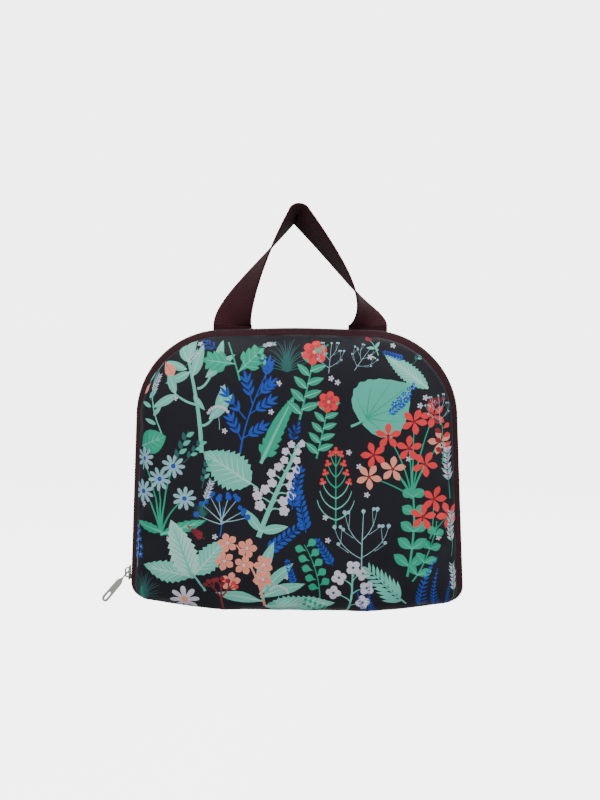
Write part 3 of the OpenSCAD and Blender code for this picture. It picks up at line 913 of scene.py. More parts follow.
def umbel(pen):
    pen.stem((0, 0), (0.04, 0.3), (0.0, 0.55), 0.03, SKY)
    for k in range(9):
        angle = math.radians(-64 + 16 * k)
        tip = (0.42 * math.sin(angle), 0.5 + 0.4 * math.cos(angle))
        pen.stem((0, 0.5), (tip[0] * 0.5, 0.7), tip, 0.016, SKY)
        pen.flower(tip, 0.07, LILAC, 5)


def white_spike(pen):
    """Round white blooms on short stalks up both sides of a thick mint stem."""
    pen.stem((0, 0), (-0.02, 0.5), (0.04, 1), 0.05, MINT)
    for k in range(18):
        y = 0.28 + 0.72 * k / 18
        sign = 1 if k % 2 else -1
        x = sign * (0.14 - 0.006 * k) * (0.7 + 0.5 * (k % 3) / 2)
        pen.stem((0.01, y - 0.05), (0.01, y), (x, y), 0.02, MINT)
        pen.flower((x, y), 0.052 - 0.001 * k, LILAC, 5, None, 0.72, k)
    pen.pair((0, 0.06), 58, 0.26, 0.09, MINT, PALE_MINT)


def lavender(pen):
    """Short pale florets up a thin stem."""
    pen.stem((0, 0), (0.03, 0.5), (0, 1), 0.018, GREEN)
    for k in range(13):
        y = 0.34 + 0.64 * k / 13
        for sign in (-1, 1):
            reach = 0.11 + 0.03 * ((k + sign) % 3)
            pen.leaf((0, y), sign * (48 + 9 * (k % 2)), reach, 0.035, LILAC if k % 3 else SKY)


def bell(pen):
    """A bent stalk with a peach bell."""
    pen.stem((0, 0), (-0.12, 0.6), (0.18, 0.96), 0.02, MINT)
    for k in range(6):
        y = 0.14 + 0.12 * k
        sign = 1 if k % 2 else -1
        pen.leaf((-0.05 - 0.02 * k * 0.3, y), sign * 52, 0.18, 0.06, MINT)
    pen.leaf((0.2, 0.97), 152, 0.28, 0.16, PEACH, CORAL, 0, 0.7)
    pen.leaf((-0.02, 0.72), -128, 0.2, 0.1, PEACH, None, 0, 0.7)


def bud(pen):
    pen.stem((0, 0), (0.05, 0.4), (0.0, 0.75), 0.04, MINT)
    pen.pair((0.01, 0.3), 60, 0.34, 0.12, MINT)
    pen.leaf((0, 0.66), 8, 0.36, 0.26, RED, CORAL, 0, 0.4)


def drop_buds(pen):
    """Red drops down a green stem."""
    pen.stem((0, 0), (0.1, 0.5), (0.02, 1), 0.03, GREEN)
    for k in range(7):
        y = 0.25 + 0.11 * k
        sign = 1 if k % 2 else -1
        pen.leaf((0.05, y), sign * 60, 0.22, 0.12, CORAL if k % 2 else RED, None, 0, 0.65)


def daisies(pen):
    """Pale blue daisies over a toothed leaf."""
    heads = [(-0.16, 0.9), (0.2, 0.8), (-0.2, 0.52), (0.3, 0.42), (0.02, 0.66)]
    for x, y in heads:
        pen.stem((0, 0), (x * 0.2, y * 0.6), (x, y), 0.025, GREEN)
    pen.leaf((0, 0.02), 76, 0.55, 0.15, GREEN, MINT, 7, 0.45, 4)
    pen.leaf((0, 0.05), -70, 0.34, 0.12, GREEN, MINT, 5)
    for k, (x, y) in enumerate(heads):
        pen.flower((x, y), 0.14, SKY, 9, LILAC, 0.32, 0.3 * k)
        pen.dot((x, y), 0.03, BLUE)


STAR_PLACES = [
    (-0.13, 0.9, 1), (0.03, 0.99, 1), (0.15, 1.03, 1), (0.0, 0.82, 1), (0.1, 0.72, 1), (-0.22, 0.78, 1),
    (-0.1, 0.69, 0), (-0.25, 0.64, 0), (0.2, 0.86, 0),
]


def star(pen, at, radius, colour, turn):
    """Five pointed petals, parted to the middle."""
    for k in range(5):
        pen.leaf(at, turn + 72 * k, radius, radius * 0.5, colour, None, 0, 0.62)
    pen.dot(at, radius * 0.14, RED)


def leafy_stem(pen, start, bend, end, count, length):
    """A curved stem with pairs of round leaves."""
    pen.stem(start, bend, end, 0.016, GREEN, 0.7)
    for k in range(count):
        t = (k + 0.6) / (count + 0.4)
        x, y = ((1 - t) ** 2 * p + 2 * t * (1 - t) * q + t * t * r for p, q, r in zip(start, bend, end))
        pen.pair((x, y), 56, length * (1.1 - 0.5 * t), length * 0.56, GREEN, MINT, 0, 0.55)


def star_spray(pen):
    """A tall spray of coral star flowers over a leafy stem."""
    for x, y, _ in STAR_PLACES:
        pen.stem((0.02, 0.5), (x * 0.2 + 0.02, 0.5 + (y - 0.5) * 0.5), (x, y), 0.011, GREEN)
    leafy_stem(pen, (0, 0), (0.06, 0.3), (0.02, 0.6), 5, 0.12)
    for k, (x, y, bright) in enumerate(STAR_PLACES):
        star(pen, (x, y), 0.085, CORAL if bright else PEACH, 25 * k)


def stars(pen):
    """A short spray of star flowers."""
    leafy_stem(pen, (0, 0), (0.12, 0.3), (0.04, 0.7), 4, 0.16)
    for k, (x, y) in enumerate(((-0.06, 0.92), (0.16, 0.8), (-0.12, 0.7))):
        pen.stem((0.03, 0.5), (0.03, 0.6), (x, y), 0.014, GREEN)
        star(pen, (x, y), 0.15, CORAL, 31 * k)


def peach_cluster(pen):
    """Peach blooms over thick mint leaves."""
    for angle, foot in ((62, 0.2), (88, 0.16), (-64, 0.1), (38, 0.34)):
        pen.leaf((0, foot), angle, 0.6, 0.15, MINT, PALE_MINT, 0, 0.5)
    pen.stem((0, 0), (0.1, 0.4), (-0.1, 0.9), 0.035, PEACH)
    pen.stem((0, 0.1), (0.2, 0.3), (0.22, 0.6), 0.03, MINT)
    heads = [(-0.2, 0.95), (0.02, 0.82), (-0.3, 0.74), (-0.08, 0.62), (0.16, 0.56), (-0.3, 0.46), (0.1, 0.38)]
    for k, (x, y) in enumerate(heads):
        for j in range(5):
            pen.leaf((x, y), 72 * j + 34 * k, 0.13, 0.09, PEACH, CORAL, 0, 0.62)
        pen.dot((x, y), 0.02, LILAC)


def red_coral(pen):
    """Forked dark red twigs that end in knobs."""

    def fork(at, angle, length, depth):
        a = math.radians(angle)
        tip = (at[0] + length * math.sin(a), at[1] + length * math.cos(a))
        bend = ((at[0] + tip[0]) / 2 + 0.02, (at[1] + tip[1]) / 2)
        pen.stem(at, bend, tip, 0.05 * (0.6 + 0.2 * depth), RED, 0.8)
        if depth == 0:
            pen.dot(tip, 0.05, CORAL if angle > 30 else RED)
            return
        for turn in (-34, 4, 38):
            fork(tip, angle + turn, length * 0.68, depth - 1)

    fork((0, 0), 0, 0.36, 2)


def white_berries(pen):
    """Clusters of white berries on a branched stem."""
    pen.stem((0, 0), (0.1, 0.5), (0.0, 0.95), 0.045, MINT)
    heads = [(-0.26, 0.5), (0.3, 0.62), (-0.2, 0.78), (0.2, 0.88), (0.02, 0.98), (0.26, 0.36)]
    for k, (x, y) in enumerate(heads):
        pen.stem((0.04, y - 0.16), (0.04, y - 0.06), (x, y), 0.028, MINT)
        for j in range(4):
            a = 1.57 * j + k
            pen.dot((x + 0.07 * math.cos(a), y + 0.07 * math.sin(a)), 0.062, LILAC)
        pen.dot((x, y), 0.025, TEAL)


def daisy(pen):
    pen.flower((0, 0.5), 0.5, LILAC, 8, PEACH, 0.3)


def blue_flowers(pen):
    """Blue blooms up a stem."""
    pen.stem((0, 0), (0, 0.5), (0.06, 1), 0.03, SKY)
    for k in range(9):
        y = 0.22 + 0.78 * k / 9
        sign = 1 if k % 2 else -1
        pen.flower((0.07 * sign * (1.3 - k / 9) + 0.03, y), 0.09 - 0.04 * k / 9, BLUE, 5, SKY, 0.3, k)


def mint_trio(pen):
    """Three large toothed leaves from one stem."""
    pen.leaf((0.1, 0.28), 52, 0.62, 0.34, MINT, PALE_MINT, 9, 0.42, 6)
    pen.leaf((0.05, 0.26), -66, 0.66, 0.32, MINT, PALE_MINT, 9, 0.42, 6)
    pen.leaf((0.06, 0.22), -8, 0.84, 0.38, PALE_MINT, MINT, 10, 0.42, 7)
    pen.stem((0.16, 0), (0.14, 0.14), (0.07, 0.3), 0.035, MINT, 0.8)


def red_sprig(pen):
    """A thin upright sprig with raised pale arms and coral tips."""
    pen.stem((0, 0), (0, 0.5), (0, 1), 0.02, GREEN)
    for k in range(6):
        y = 0.1 + 0.14 * k
        reach = 0.24 - 0.035 * k
        for sign in (-1, 1):
            tip = (sign * reach, y + 0.26 - 0.02 * k)
            pen.stem((0, y), (sign * reach * 0.8, y + 0.06), tip, 0.018, MINT if k < 3 else GREEN)
            if k > 1:
                pen.flower(tip, 0.05, CORAL, 3, None, 0.2, 0.3 * sign)
    pen.flower((0, 1), 0.055, CORAL, 3, None, 0.2)


def teal_buds(pen):
    pen.stem((0, 0), (0.05, 0.5), (0.0, 1), 0.03, TEAL)
    for k in range(6):
        sign = 1 if k % 2 else -1
        pen.leaf((0.02, 0.22 + 0.12 * k), sign * 34, 0.24, 0.12, HEART if k % 2 else TEAL)


def tiny_flower(pen):
    pen.flower((0, 0), 1, LILAC, 5, SKY, 0.25)


# The front's plants: [plant, foot in X and Z, height, lean to the right in degrees], the lowest layer first
FRONT_PLANTS = [
    (willow, (-72, 128), 88, 2), (bell, (-103, 142), 58, -12), (round_leaf, (-122, 132), 24, 70),
    (oak, (-42, 184), 31, -16), (tuft, (-6, 191), 28, 0), (blue_sprig, (-42, 128), 70, 8),
    (teal_spear, (-26, 120), 60, 26), (umbel, (-58, 146), 20, -4), (coral_bloom, (4, 154), 59, 12),
    (coral_bloom, (17, 124), 50, 12), (twigs, (26, 190), 25, 4), (twigs, (46, 192), 23, 34),
    (heart_leaf, (51, 152), 48, 52), (bud, (64, 203), 20, -24), (long_leaf, (102, 178), 42, -52),
    (blue_flowers, (74, 160), 30, 38), (wheat, (72, 158), 22, 50), (blue_sprig, (-2, 136), 16, 10),
    (red_fern, (100, 166), 18, 74), (star_spray, (88, 32), 122, 0), (stars, (92, 28), 72, 18),
    (big_leaf, (-34, 104), 44, -56), (daisies, (-104, 62), 68, -4), (teal_buds, (-94, 118), 30, 24),
    (teal_buds, (-72, 100), 24, 12), (teal_buds, (-86, 120), 24, 40), (white_spike, (-28, 62), 84, 22),
    (wheat, (-2, 84), 36, 12), (wheat, (9, 66), 36, -10), (wheat, (-22, 50), 38, 52),
    (wheat, (30, 40), 26, -32),
    (red_sprig, (32, 70), 60, 0), (blue_berries, (-58, 62), 40, 6), (mint_trio, (-80, 14), 60, -12),
    (peach_cluster, (-24, 4), 62, -16), (red_coral, (-58, -2), 40, 0), (daisy, (-88, -3), 24, 0),
    (tuft, (-120, 10), 24, 0), (blue_flowers, (-127, 34), 36, 0), (twigs, (52, 38), 48, 0),
    (pinnate, (20, 12), 48, -12), (white_berries, (40, -6), 46, 6), (mint_fern, (88, 8), 44, -48),
    (blue_fern, (100, 2), 46, 8), (blue_fern, (114, 2), 36, -10), (blue_fern, (124, 2), 26, -10),
    (blue_fern, (66, -4), 30, -20), (blue_fern, (62, -4), 28, -34),
    (lavender, (122, 92), 44, -6), (lavender, (124, 46), 36, 0), (lavender, (126, 8), 32, 0),
    (drop_buds, (114, 120), 34, -4), (long_leaf, (-24, 3), 56, 84), (pinnate, (28, -2), 24, -60),
    (tuft, (-70, 78), 14, -30), (lavender, (-72, 84), 24, 20), (red_fern, (-70, 60), 17, -52),
    (wheat, (0, 24), 22, -16), (umbel, (-14, 6), 18, 10), (fern, (-124, 0), 20, 6),
    (teal_buds, (-22, 190), 18, -20), (twigs, (112, 150), 24, -6), (lavender, (-86, 192), 18, 40),
    (blue_sprig, (-60, 208), 14, -70), (lavender, (-30, 209), 16, 70), (fern, (14, 205), 14, 60),
    (teal_buds, (90, 196), 20, 40), (wheat, (84, 200), 18, -70), (lavender, (-112, 168), 22, 20),
]
TINY_FLOWERS = [
    (-74, 212), (-20, 213), (76, 211), (-84, 205), (-55, 178), (-54, 145), (-12, 182), (28, 186), (33, 183),
    (58, 202), (66, 156), (42, 129),
    (100, 171), (107, 167), (96, 165), (-92, 170), (-18, 160), (-98, 60), (-30, 100), (24, 78), (56, 96),
    (26, 60), (-62, 62), (66, 22), (-10, 118), (50, 118), (112, 62), (-120, 86), (-6, 30), (88, 124),
]
SCATTERED = [
    willow, fern, blue_fern, mint_fern, blue_sprig, wheat, pinnate, coral_bloom, big_leaf, teal_spear, oak,
    heart_leaf, tuft, twigs, blue_berries, umbel, white_spike, bell, drop_buds, daisies, stars, peach_cluster,
    red_coral, white_berries, blue_flowers, mint_trio, teal_buds, red_sprig, lavender, star_spray,
]


def front_print():
    shapes = []
    for at in TINY_FLOWERS:
        tiny_flower(Pen(shapes, at, 2.4, 20))
    for plant, at, height, lean in FRONT_PLANTS:
        plant(Pen(shapes, at, height, lean))
    return shapes


def scattered_print(low, high, pitch=27.0):
    """Plants at random over a piece of cloth, on a jittered lattice."""
    shapes = []
    rows = max(1, round((high[1] - low[1]) / pitch))
    columns = max(1, round((high[0] - low[0]) / pitch))
    for r in range(rows):
        for c in range(columns):
            x = low[0] + (high[0] - low[0]) * (c + 0.5 * (r % 2) + dice.uniform(0.1, 0.5)) / columns
            z = low[1] + (high[1] - low[1]) * (r + dice.uniform(-0.3, 0.3)) / rows
            height = min(dice.uniform(34, 48), 1.5 * (high[1] - low[1]))
            dice.choice(SCATTERED)(Pen(shapes, (x, z), height, dice.uniform(-40, 40)))
            tiny_flower(Pen(shapes, (x + 14, z + 4), 2.2, 10))
    return shapes


# ---------------------------------------------------------------- padded panels


def dome_profile(depth):
    """The lid's front at a depth below its outer face."""
    rim = drawn_in(LID_DRAW, SKIN_IN + depth)
    height = RIM_Y - FRONT_Y - depth

    def profile(share):
        scale = math.sin(math.pi / 2 * share) ** 0.9 if share > 0 else 0.0
        y = RIM_Y - height * math.sqrt(max(0.0, 1 - scale**7))
        return (rim - CUP_MIDDLE) * max(scale, 1e-4) + CUP_MIDDLE, y

    return profile


BACK_STEPS = [(3, 0), (6, 0.32), (10, 0.66), (13, 0.851), (18, 0.94), (28, 0.985), (45, 1.0)]
SEAM_DRAW = 13.0
FLAT_DRAW = 45


def back_depth(by, depth):
    """How deep the back half's shell lies where it is drawn in by so much."""
    share = smooth_through([s[0] for s in BACK_STEPS], [s[1] for s in BACK_STEPS], by)
    return float(GUSSET_Y + (BACK_Y - GUSSET_Y - depth) * share)


def back_profile(depth, first):
    """The back panel at a depth below its outer face, from its middle to where it is drawn in by first."""

    def profile(share):
        by = FLAT_DRAW - (FLAT_DRAW - first) * max(0.0, (share - 0.5) / 0.5)
        scale = min(1.0, max(share / 0.5, 1e-4))
        ring = drawn_in(by, SKIN_IN + depth)
        return (ring - CUP_MIDDLE) * scale + CUP_MIDDLE, back_depth(by, depth)

    return profile


CLOTH_PITCH = 6.5
CLOTH_MARGIN = 3
CLOTH_STEPS = 20


def trial_cloth(patch, seed):
    """A coarse cloth over a panel, with small seeded creases to start from. It is held at its rim."""
    loop = patch.edge()
    verts = [Vector(p) for p in loop] + [Vector(p) for p in lattice(loop, CLOTH_PITCH, CLOTH_MARGIN)]
    flat, _, cells, _, _, _ = delaunay_2d_cdt(verts, [], [list(range(len(loop)))], 1, 1e-4, True)
    flat = np.array([tuple(p) for p in flat])
    row, column = patch.index(flat)
    normals = read_grid(patch.normals(), row, column)
    crease = np.array([[0.5 * noise.noise(Vector((p[0] / 17, p[1] / 17, seed)))] for p in flat])
    start = read_grid(patch.grid, row, column) + normals * crease
    triangles = [cell for cell in cells if len(cell) == 3]
    obj = new_object("cloth_trial", start, facing(triangles, start, normals))
    rim = np.nonzero(row > len(patch.grid) - 2.2)[0]
    obj.vertex_groups.new(name="held").add(rim.tolist(), 1.0, "REPLACE")
    return obj, start


def pressed_out(obj, start):
    """How far light pressure moves each point of a trial cloth, in millimetres. The cloth is then removed."""
    cloth = obj.modifiers.new("cloth", "CLOTH")
    cloth.settings.quality = 5
    cloth.settings.mass = 0.3
    cloth.settings.use_pressure = True
    cloth.settings.uniform_pressure_force = 4
    cloth.settings.shrink_min = -0.025
    cloth.settings.vertex_group_mass = "held"
    cloth.settings.effector_weights.gravity = 0
    cloth.point_cache.frame_start = 1
    cloth.point_cache.frame_end = CLOTH_STEPS
    for step in range(1, CLOTH_STEPS + 1):
        bpy.context.scene.frame_set(step)
    result = obj.evaluated_get(bpy.context.evaluated_depsgraph_get())
    moved = np.empty(len(result.data.vertices) * 3, np.float32)
    result.data.vertices.foreach_get("co", moved)
    bpy.data.objects.remove(obj)
    bpy.context.scene.frame_set(1)
    return moved.reshape(-1, 3) / MM - start


def swell(cup, cap, seed):
    """Lets a padded panel fill out as cloth does. No point moves further than cap."""
    obj, start = trial_cloth(cup, seed)
    move = pressed_out(obj, start)
    size = np.linalg.norm(move, axis=1, keepdims=True)
    move = move * np.minimum(1, cap / np.maximum(size, 1e-6))
    tree = kdtree.KDTree(len(start))
    for k, p in enumerate(start):
        tree.insert(Vector(p), k)
    tree.balance()
    grid = cup.grid
    for r, c in np.ndindex(grid.shape[:2]):
        near = tree.find_n(Vector(grid[r, c]), 5)
        weight = np.array([1 / (n[2] + 0.8) ** 2 for n in near])
        grid[r, c] = grid[r, c] + (weight[:, None] * move[[n[1] for n in near]]).sum(0) / weight.sum()
    grid[:, -1] = grid[:, 0]
    grid[0] = grid[1].mean(axis=0)


def base_rows(y0, y1, inset=SKIN_IN, rows=6):
    """A flat strip of the base, from y0 to y1, in order of X."""
    base = np.nonzero((np.abs(OUTLINE[:, 0]) <= ZIP_END_X + 3) & (OUTLINE[:, 1] < CORNER_Z))[0]
    base = base[np.argsort(OUTLINE[base, 0])]
    return np.array([at_y((OUTLINE - inset * NORMALS)[base], y) for y in np.linspace(y0, y1, rows)])


def printed_piece(name, patch, shapes, body, replaced):
    return finish_piece(printed_panel(name, patch, shapes), PRINTED, body, "print_fabric", replaced)


def padded_walls():
    """The padded front, back and side wall."""
    front = Cup(dome_profile(0), -1)
    back = Cup(back_profile(0, SEAM_DRAW), 1)
    wall = [rail(by, SKIN_IN, back_depth(by, 0)) for by in np.linspace(BACK_DRAW, SEAM_DRAW, 9)]
    side = Strip(np.array(wall), (0, 10, MID_Z))
    swell(front, 2.2, 3)
    swell(back, 1.8, 5)
    front_pad = printed_piece("front_pad", front, front_print(), "lid", ["front_panel", "front_foam"])
    back_shapes = scattered_print((-130, -8), (130, 220))
    back_pad = printed_piece("back_pad", back, back_shapes, "back_half", ["back_panel", "back_foam"])
    side_shapes = scattered_print((0, 0), side.size())
    side_pad = printed_piece("side_pad", side, side_shapes, "back_half", ["back_gusset", "gusset_foam"])


def base_and_hinge():
    """The printed base, the lid's flap before it, and the fabric hinge between them."""
    base = Strip(base_rows(GUSSET_Y, BACK_SEAM_Y), (0, 10, MID_Z))
    base_print = printed_piece(
        "base_print", base, scattered_print((0, 0), base.size()), "back_half", ["base_panel"]
    )
    declare_sheet(base.grid)
    flap = Strip(base_rows(RIM_Y, ZIP_Y - 2), (0, -20, MID_Z))
    printed_piece("flap_print", flap, scattered_print((0, 0), flap.size()), "lid", ["lid_base_flap"])
    grid = base_rows(ZIP_Y - 3, GUSSET_Y, SKIN_IN + 0.15, 12)
    hinge = cloth_strip("hinge_fabric", grid, 0.6)
    finish_piece(hinge, TAPE, slot="zip_tape", replaced=["hinge_binding"])
    declare_sheet(grid)
    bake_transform(hinge)


# ---------------------------------------------------------------- zip

X = np.array([1.0, 0.0, 0.0])
Y = np.array([0.0, 1.0, 0.0])
Z = np.array([0.0, 0.0, 1.0])
COIL_PITCH = 1.2
YARN_RADIUS = 0.36
HARD_NODES = [
    ("slider_body", "zip_slider", 0.3), ("slider_crown", "zip_slider", 0.3),
    ("slider_spring", "zip_slider", 0.08), ("pull_tab", "zip_pull", 0.32),
    ("pocket_slider_body", "pocket_slider", 0.3), ("pocket_slider_crown", "pocket_slider", 0.3),
    ("pocket_pull_tab", "pocket_pull", 0.32), ("back_zip_stop", "back_half", 0.3),
    ("lid_zip_stop", "lid", 0.3),
]


def tape(name, near, far, body, replaced):
    """A tape of the main zip between two edges, each [y, how far it is drawn in]."""
    grid = np.array([
        rail(near[1] + (far[1] - near[1]) * t, TAPE_IN, near[0] + (far[0] - near[0]) * t)
        for t in np.linspace(0, 1, 7)
    ])
    finish_piece(cloth_strip(name, grid, 0.6), TAPE, body, "zip_tape", [replaced])


def coil(name, line, inward, across, half_width, half_depth, phase):
    """A nylon coil wound round a line: loops that reach across by half_width and down by half_depth."""
    along = lengths(line)
    s = np.linspace(0, along[-1], int(along[-1] / COIL_PITCH) * 10)
    middle = np.column_stack([np.interp(s, along, line[:, k]) for k in range(3)])
    inner = np.column_stack([np.interp(s, along, inward[:, k]) for k in range(3)])
    angle = 2 * math.pi * s / COIL_PITCH + phase
    path = middle + half_depth * np.cos(angle)[:, None] * inner + half_width * np.sin(angle)[:, None] * across
    way = unit_rows(np.gradient(path, axis=0))
    side = unit_rows(np.cross(way, inner + 0.01))
    up = np.cross(side, way)
    turns = np.linspace(0, 2 * math.pi, 6)[:-1]
    section = [(YARN_RADIUS * math.cos(a), YARN_RADIUS * math.sin(a)) for a in turns]
    return swept(name, path, list(zip(side, up)), section)


def unit_rows(v):
    return v / np.linalg.norm(v, axis=1)[:, None]


def rail_outward(end_x=ZIP_END_X):
    """The outline's outward normals along a rail."""
    return at_y(NORMALS[beyond_base(end_x)], 0)


def main_zip():
    """The two tapes with their rows of teeth."""
    lid_edges = (RIM_Y - 0.6, LID_DRAW + 0.4), (ZIP_Y - COIL_W + 1.2, -0.4)
    back_edges = (ZIP_Y + COIL_W - 1.2, -0.4), (GUSSET_Y + 0.6, BACK_DRAW + 0.3)
    tape("lid_tape", *lid_edges, "lid", "lid_zip_tape")
    tape("back_tape", *back_edges, "back_half", "back_zip_tape")
    inward = -rail_outward(COIL_END_X)
    for half, body, sign, phase in (("lid", "lid", -1, 0.0), ("back", "back_half", 1, math.pi)):
        line = rail(0, COIL_T / 2 + 0.1, ZIP_Y + sign * (0.1 + COIL_W / 2), COIL_END_X)
        teeth = coil(half + "_teeth", line, inward, Y, 1.12, 0.93, phase)
        finish_piece(teeth, COIL, body, "zip_coil", [half + "_coil"])


def softened(node, material, slot, body, width):
    """A copy of a hard CAD node with its edges rounded."""
    copy = frame["nodes"][node].copy()
    copy.data = copy.data.copy()
    copy.name = node + "_rounded"
    for key in list(copy.keys()):
        del copy[key]
    copy.parent = None
    bpy.context.scene.collection.objects.link(copy)
    weld = copy.modifiers.new("weld", "WELD")
    weld.merge_threshold = 0.01 * MM
    bevel = copy.modifiers.new("bevel", "BEVEL")
    bevel.width = width * MM
    bevel.segments = 3
    bevel.limit_method = "ANGLE"
    bevel.angle_limit = math.radians(35)
    bevel.harden_normals = False
    copy.data.shade_smooth()
    smooth = copy.modifiers.new("normals", "WEIGHTED_NORMAL")
    smooth.keep_sharp = True
    finish_piece(copy, material, body, slot, [node])


def hard_parts():
    for node, body, width in HARD_NODES:
        softened(node, NICKEL, "nickel", body, width)
    softened("hook", PLASTIC, "hook_plastic", "hook", 0.8)


# A stitch: places along it, each with its share of the full width
STITCH_SECTIONS = [(-0.5, 0.3), (-0.32, 0.9), (0, 1.0), (0.32, 0.9), (0.5, 0.3)]
STITCH_SIDES = 6


def stitch_points(at, way, up, length, width):
    """One stitch that rises in its middle, with each point's place on the thread."""
    side = unit(np.cross(way, up))
    up = np.cross(side, way)
    points, uvs = [], []
    for place, share in STITCH_SECTIONS:
        lift = 0.6 * width * (1 - (2 * place) ** 2) - 0.2 * width
        radius = width / 2 * share
        for k in range(STITCH_SIDES):
            a = 2 * math.pi * k / STITCH_SIDES
            points.append(
                at + way * length * place + radius * math.cos(a) * side + (radius * math.sin(a) + lift) * up
            )
            uvs.append((place * length, a * width / 2))
    return points, uvs


def stitch_faces(first):
    """The faces of the stitch whose points begin at first."""
    faces = []
    for ring in range(len(STITCH_SECTIONS) - 1):
        start = first + ring * STITCH_SIDES
        for k in range(STITCH_SIDES):
            a, b = start + k, start + (k + 1) % STITCH_SIDES
            faces.append((a, b, b + STITCH_SIDES, a + STITCH_SIDES))
    last = first + (len(STITCH_SECTIONS) - 1) * STITCH_SIDES
    faces.append([first + STITCH_SIDES - 1 - k for k in range(STITCH_SIDES)])
    faces.append([last + k for k in range(STITCH_SIDES)])
    return faces


def stitches(name, line, outward, body, pitch, length, width):
    """A row of stitches laid along a line."""
    along = lengths(line)
    count = max(2, int(along[-1] / pitch))
    points, faces, uvs = [], [], []
    for k in range(count):
        s = (k + 0.5) * along[-1] / count
        at, ahead, behind = (
            np.array([np.interp(s + step, along, line[:, i]) for i in range(3)]) for step in (0, 0.5, -0.5)
        )
        up = np.array([np.interp(s, along, outward[:, i]) for i in range(3)])
        faces.extend(stitch_faces(len(points)))
        new_points, new_uvs = stitch_points(at, unit(ahead - behind), up, length, width)
        points.extend(new_points)
        uvs.extend(new_uvs)
    finish_piece(new_object(name, points, faces, uvs), THREAD, body, "webbing")


def seams():
    """The stitching along both tapes."""
    rows = (("lid", "lid", LID_DRAW, RIM_Y + 1.2), ("back", "back_half", BACK_DRAW, GUSSET_Y - 1.2))
    for half, body, by, y in rows:
        line = rail(by * 0.8, TAPE_IN - 0.35, y)
        stitches(half + "_seam_stitches", line, rail_outward(), body, 2.6, 1.7, 0.4)


# ---------------------------------------------------------------- handle

ends_low, ends_high = node_box("handle_ends")
WEB_W = 30.0
WEB_T = 1.4
HANDLE_Y = (ends_low[1] + ends_high[1]) / 2
HANDLE_Z = ends_high[2] + 0.7
LEFT_X = ends_low[0] + WEB_W / 2
RIGHT_X = ends_high[0] - WEB_W / 2
HANDLE_H = 90.0
FOLD_R = 2.5
FOLD = np.array([0, HANDLE_H - FOLD_R - WEB_T / 2])
RISE_MID = np.array([LEFT_X, 0.2 * HANDLE_H])
FALL_MID = np.array([RIGHT_X, 0.26 * HANDLE_H])


def slope_to_fold(p):
    way = FOLD - p
    return math.atan2(way[1], abs(way[0])) + math.asin(FOLD_R / np.linalg.norm(way))


def curve_points(a, b, c, t):
    """Points and directions along a curve from a to c that bends towards b."""
    t = t[:, None]
    points = (1 - t) ** 2 * a + 2 * t * (1 - t) * b + t**2 * c
    return points, unit_rows(2 * (1 - t) * (b - a) + 2 * t * (c - b))


def handle_stations(leg_steps=70, fold_steps=10):
    """The webbing's middle line, its direction and its twist, from the left end to the right."""
    rise, fall = slope_to_fold(RISE_MID), slope_to_fold(FALL_MID)
    rise_end = FOLD + FOLD_R * np.array([-math.sin(rise), math.cos(rise)])
    fall_start = FOLD + FOLD_R * np.array([math.sin(fall), math.cos(fall)])
    t = np.linspace(0, 1, leg_steps)
    left, left_way = curve_points(np.array([LEFT_X, 0.5]), RISE_MID, rise_end, t)
    right, right_way = curve_points(fall_start, FALL_MID, np.array([RIGHT_X, 0.5]), t)
    f = np.linspace(0, 1, fold_steps)[1:-1]
    a = rise - (rise + fall) * f
    top = FOLD + FOLD_R * np.column_stack([-np.sin(a), np.cos(a)])
    twist = np.concatenate([105 * (1 - (1 - t) ** 1.1), 105 + 20 * f, 125 - 50 * t - 75 * t**5])
    points = np.concatenate([left, top, right])
    ways = np.concatenate([left_way, np.column_stack([np.cos(a), np.sin(a)]), right_way])
    return points, ways, np.radians(twist)


def handle():
    """The folded webbing, and its two ends sewn under the seam."""
    stations, frames = [], []
    for p, way, turn in zip(*handle_stations()):
        out = np.array([-way[1], 0, way[0]])
        stations.append(np.array([p[0], HANDLE_Y, HANDLE_Z + p[1]]))
        frames.append((math.cos(turn) * out + math.sin(turn) * Y, -math.sin(turn) * out + math.cos(turn) * Y))
    section = band_section(WEB_W, WEB_T)
    finish_piece(swept("handle_webbing", stations, frames, section), WEBBING, "handle", "webbing", ["handle"])
    for side, x in (("left", LEFT_X), ("right", RIGHT_X)):
        line = [np.array([x, HANDLE_Y, z]) for z in np.linspace(ends_low[2], HANDLE_Z + 0.9, 8)]
        end = swept("handle_end_" + side, line, [(X, Y)] * len(line), section)
        finish_piece(end, WEBBING, "back_half", "webbing", ["handle_ends"])


# ---------------------------------------------------------------- linings and bindings

LINING_CREASE = 0.9


def lining_cup(name, cup, body, replaced, seed):
    """A lining laid over the inside of a cup, with small creases that fade at its middle and its rim."""
    rows, columns = cup.grid.shape[:2]
    crease = np.array([
        [LINING_CREASE * noise.fractal(Vector((p[0] / 23, p[2] / 23, seed)), 1.0, 2.0, 3) for p in row]
        for row in cup.grid
    ])
    fade = np.sin(math.pi * np.clip(np.linspace(0, 1, rows), 0.02, 0.98))
    grid = cup.grid - cup.normals() * (np.abs(crease) * fade[:, None])[:, :, None]
    uvs = grid[:, :, [0, 2]].reshape(-1, 2)
    obj = new_object(name, grid.reshape(-1, 3), grid_faces(rows, columns), uvs)
    weld = obj.modifiers.new("weld", "WELD")
    weld.merge_threshold = 0.02 * MM
    declare_cup(grid)
    finish_piece(obj, LINING, body, "lining", replaced)


def binding_roll(name, by, y, body, replaced):
    """The rolled binding over the seam inside."""
    frames = [(Y, outward) for outward in rail_outward()]
    roll = swept(name, list(rail(by, SKIN_IN + 2.7, y)), frames, rounded_section(2.4, 3.0, 0.9))
    finish_piece(roll, TAPE, body, "zip_tape", replaced)


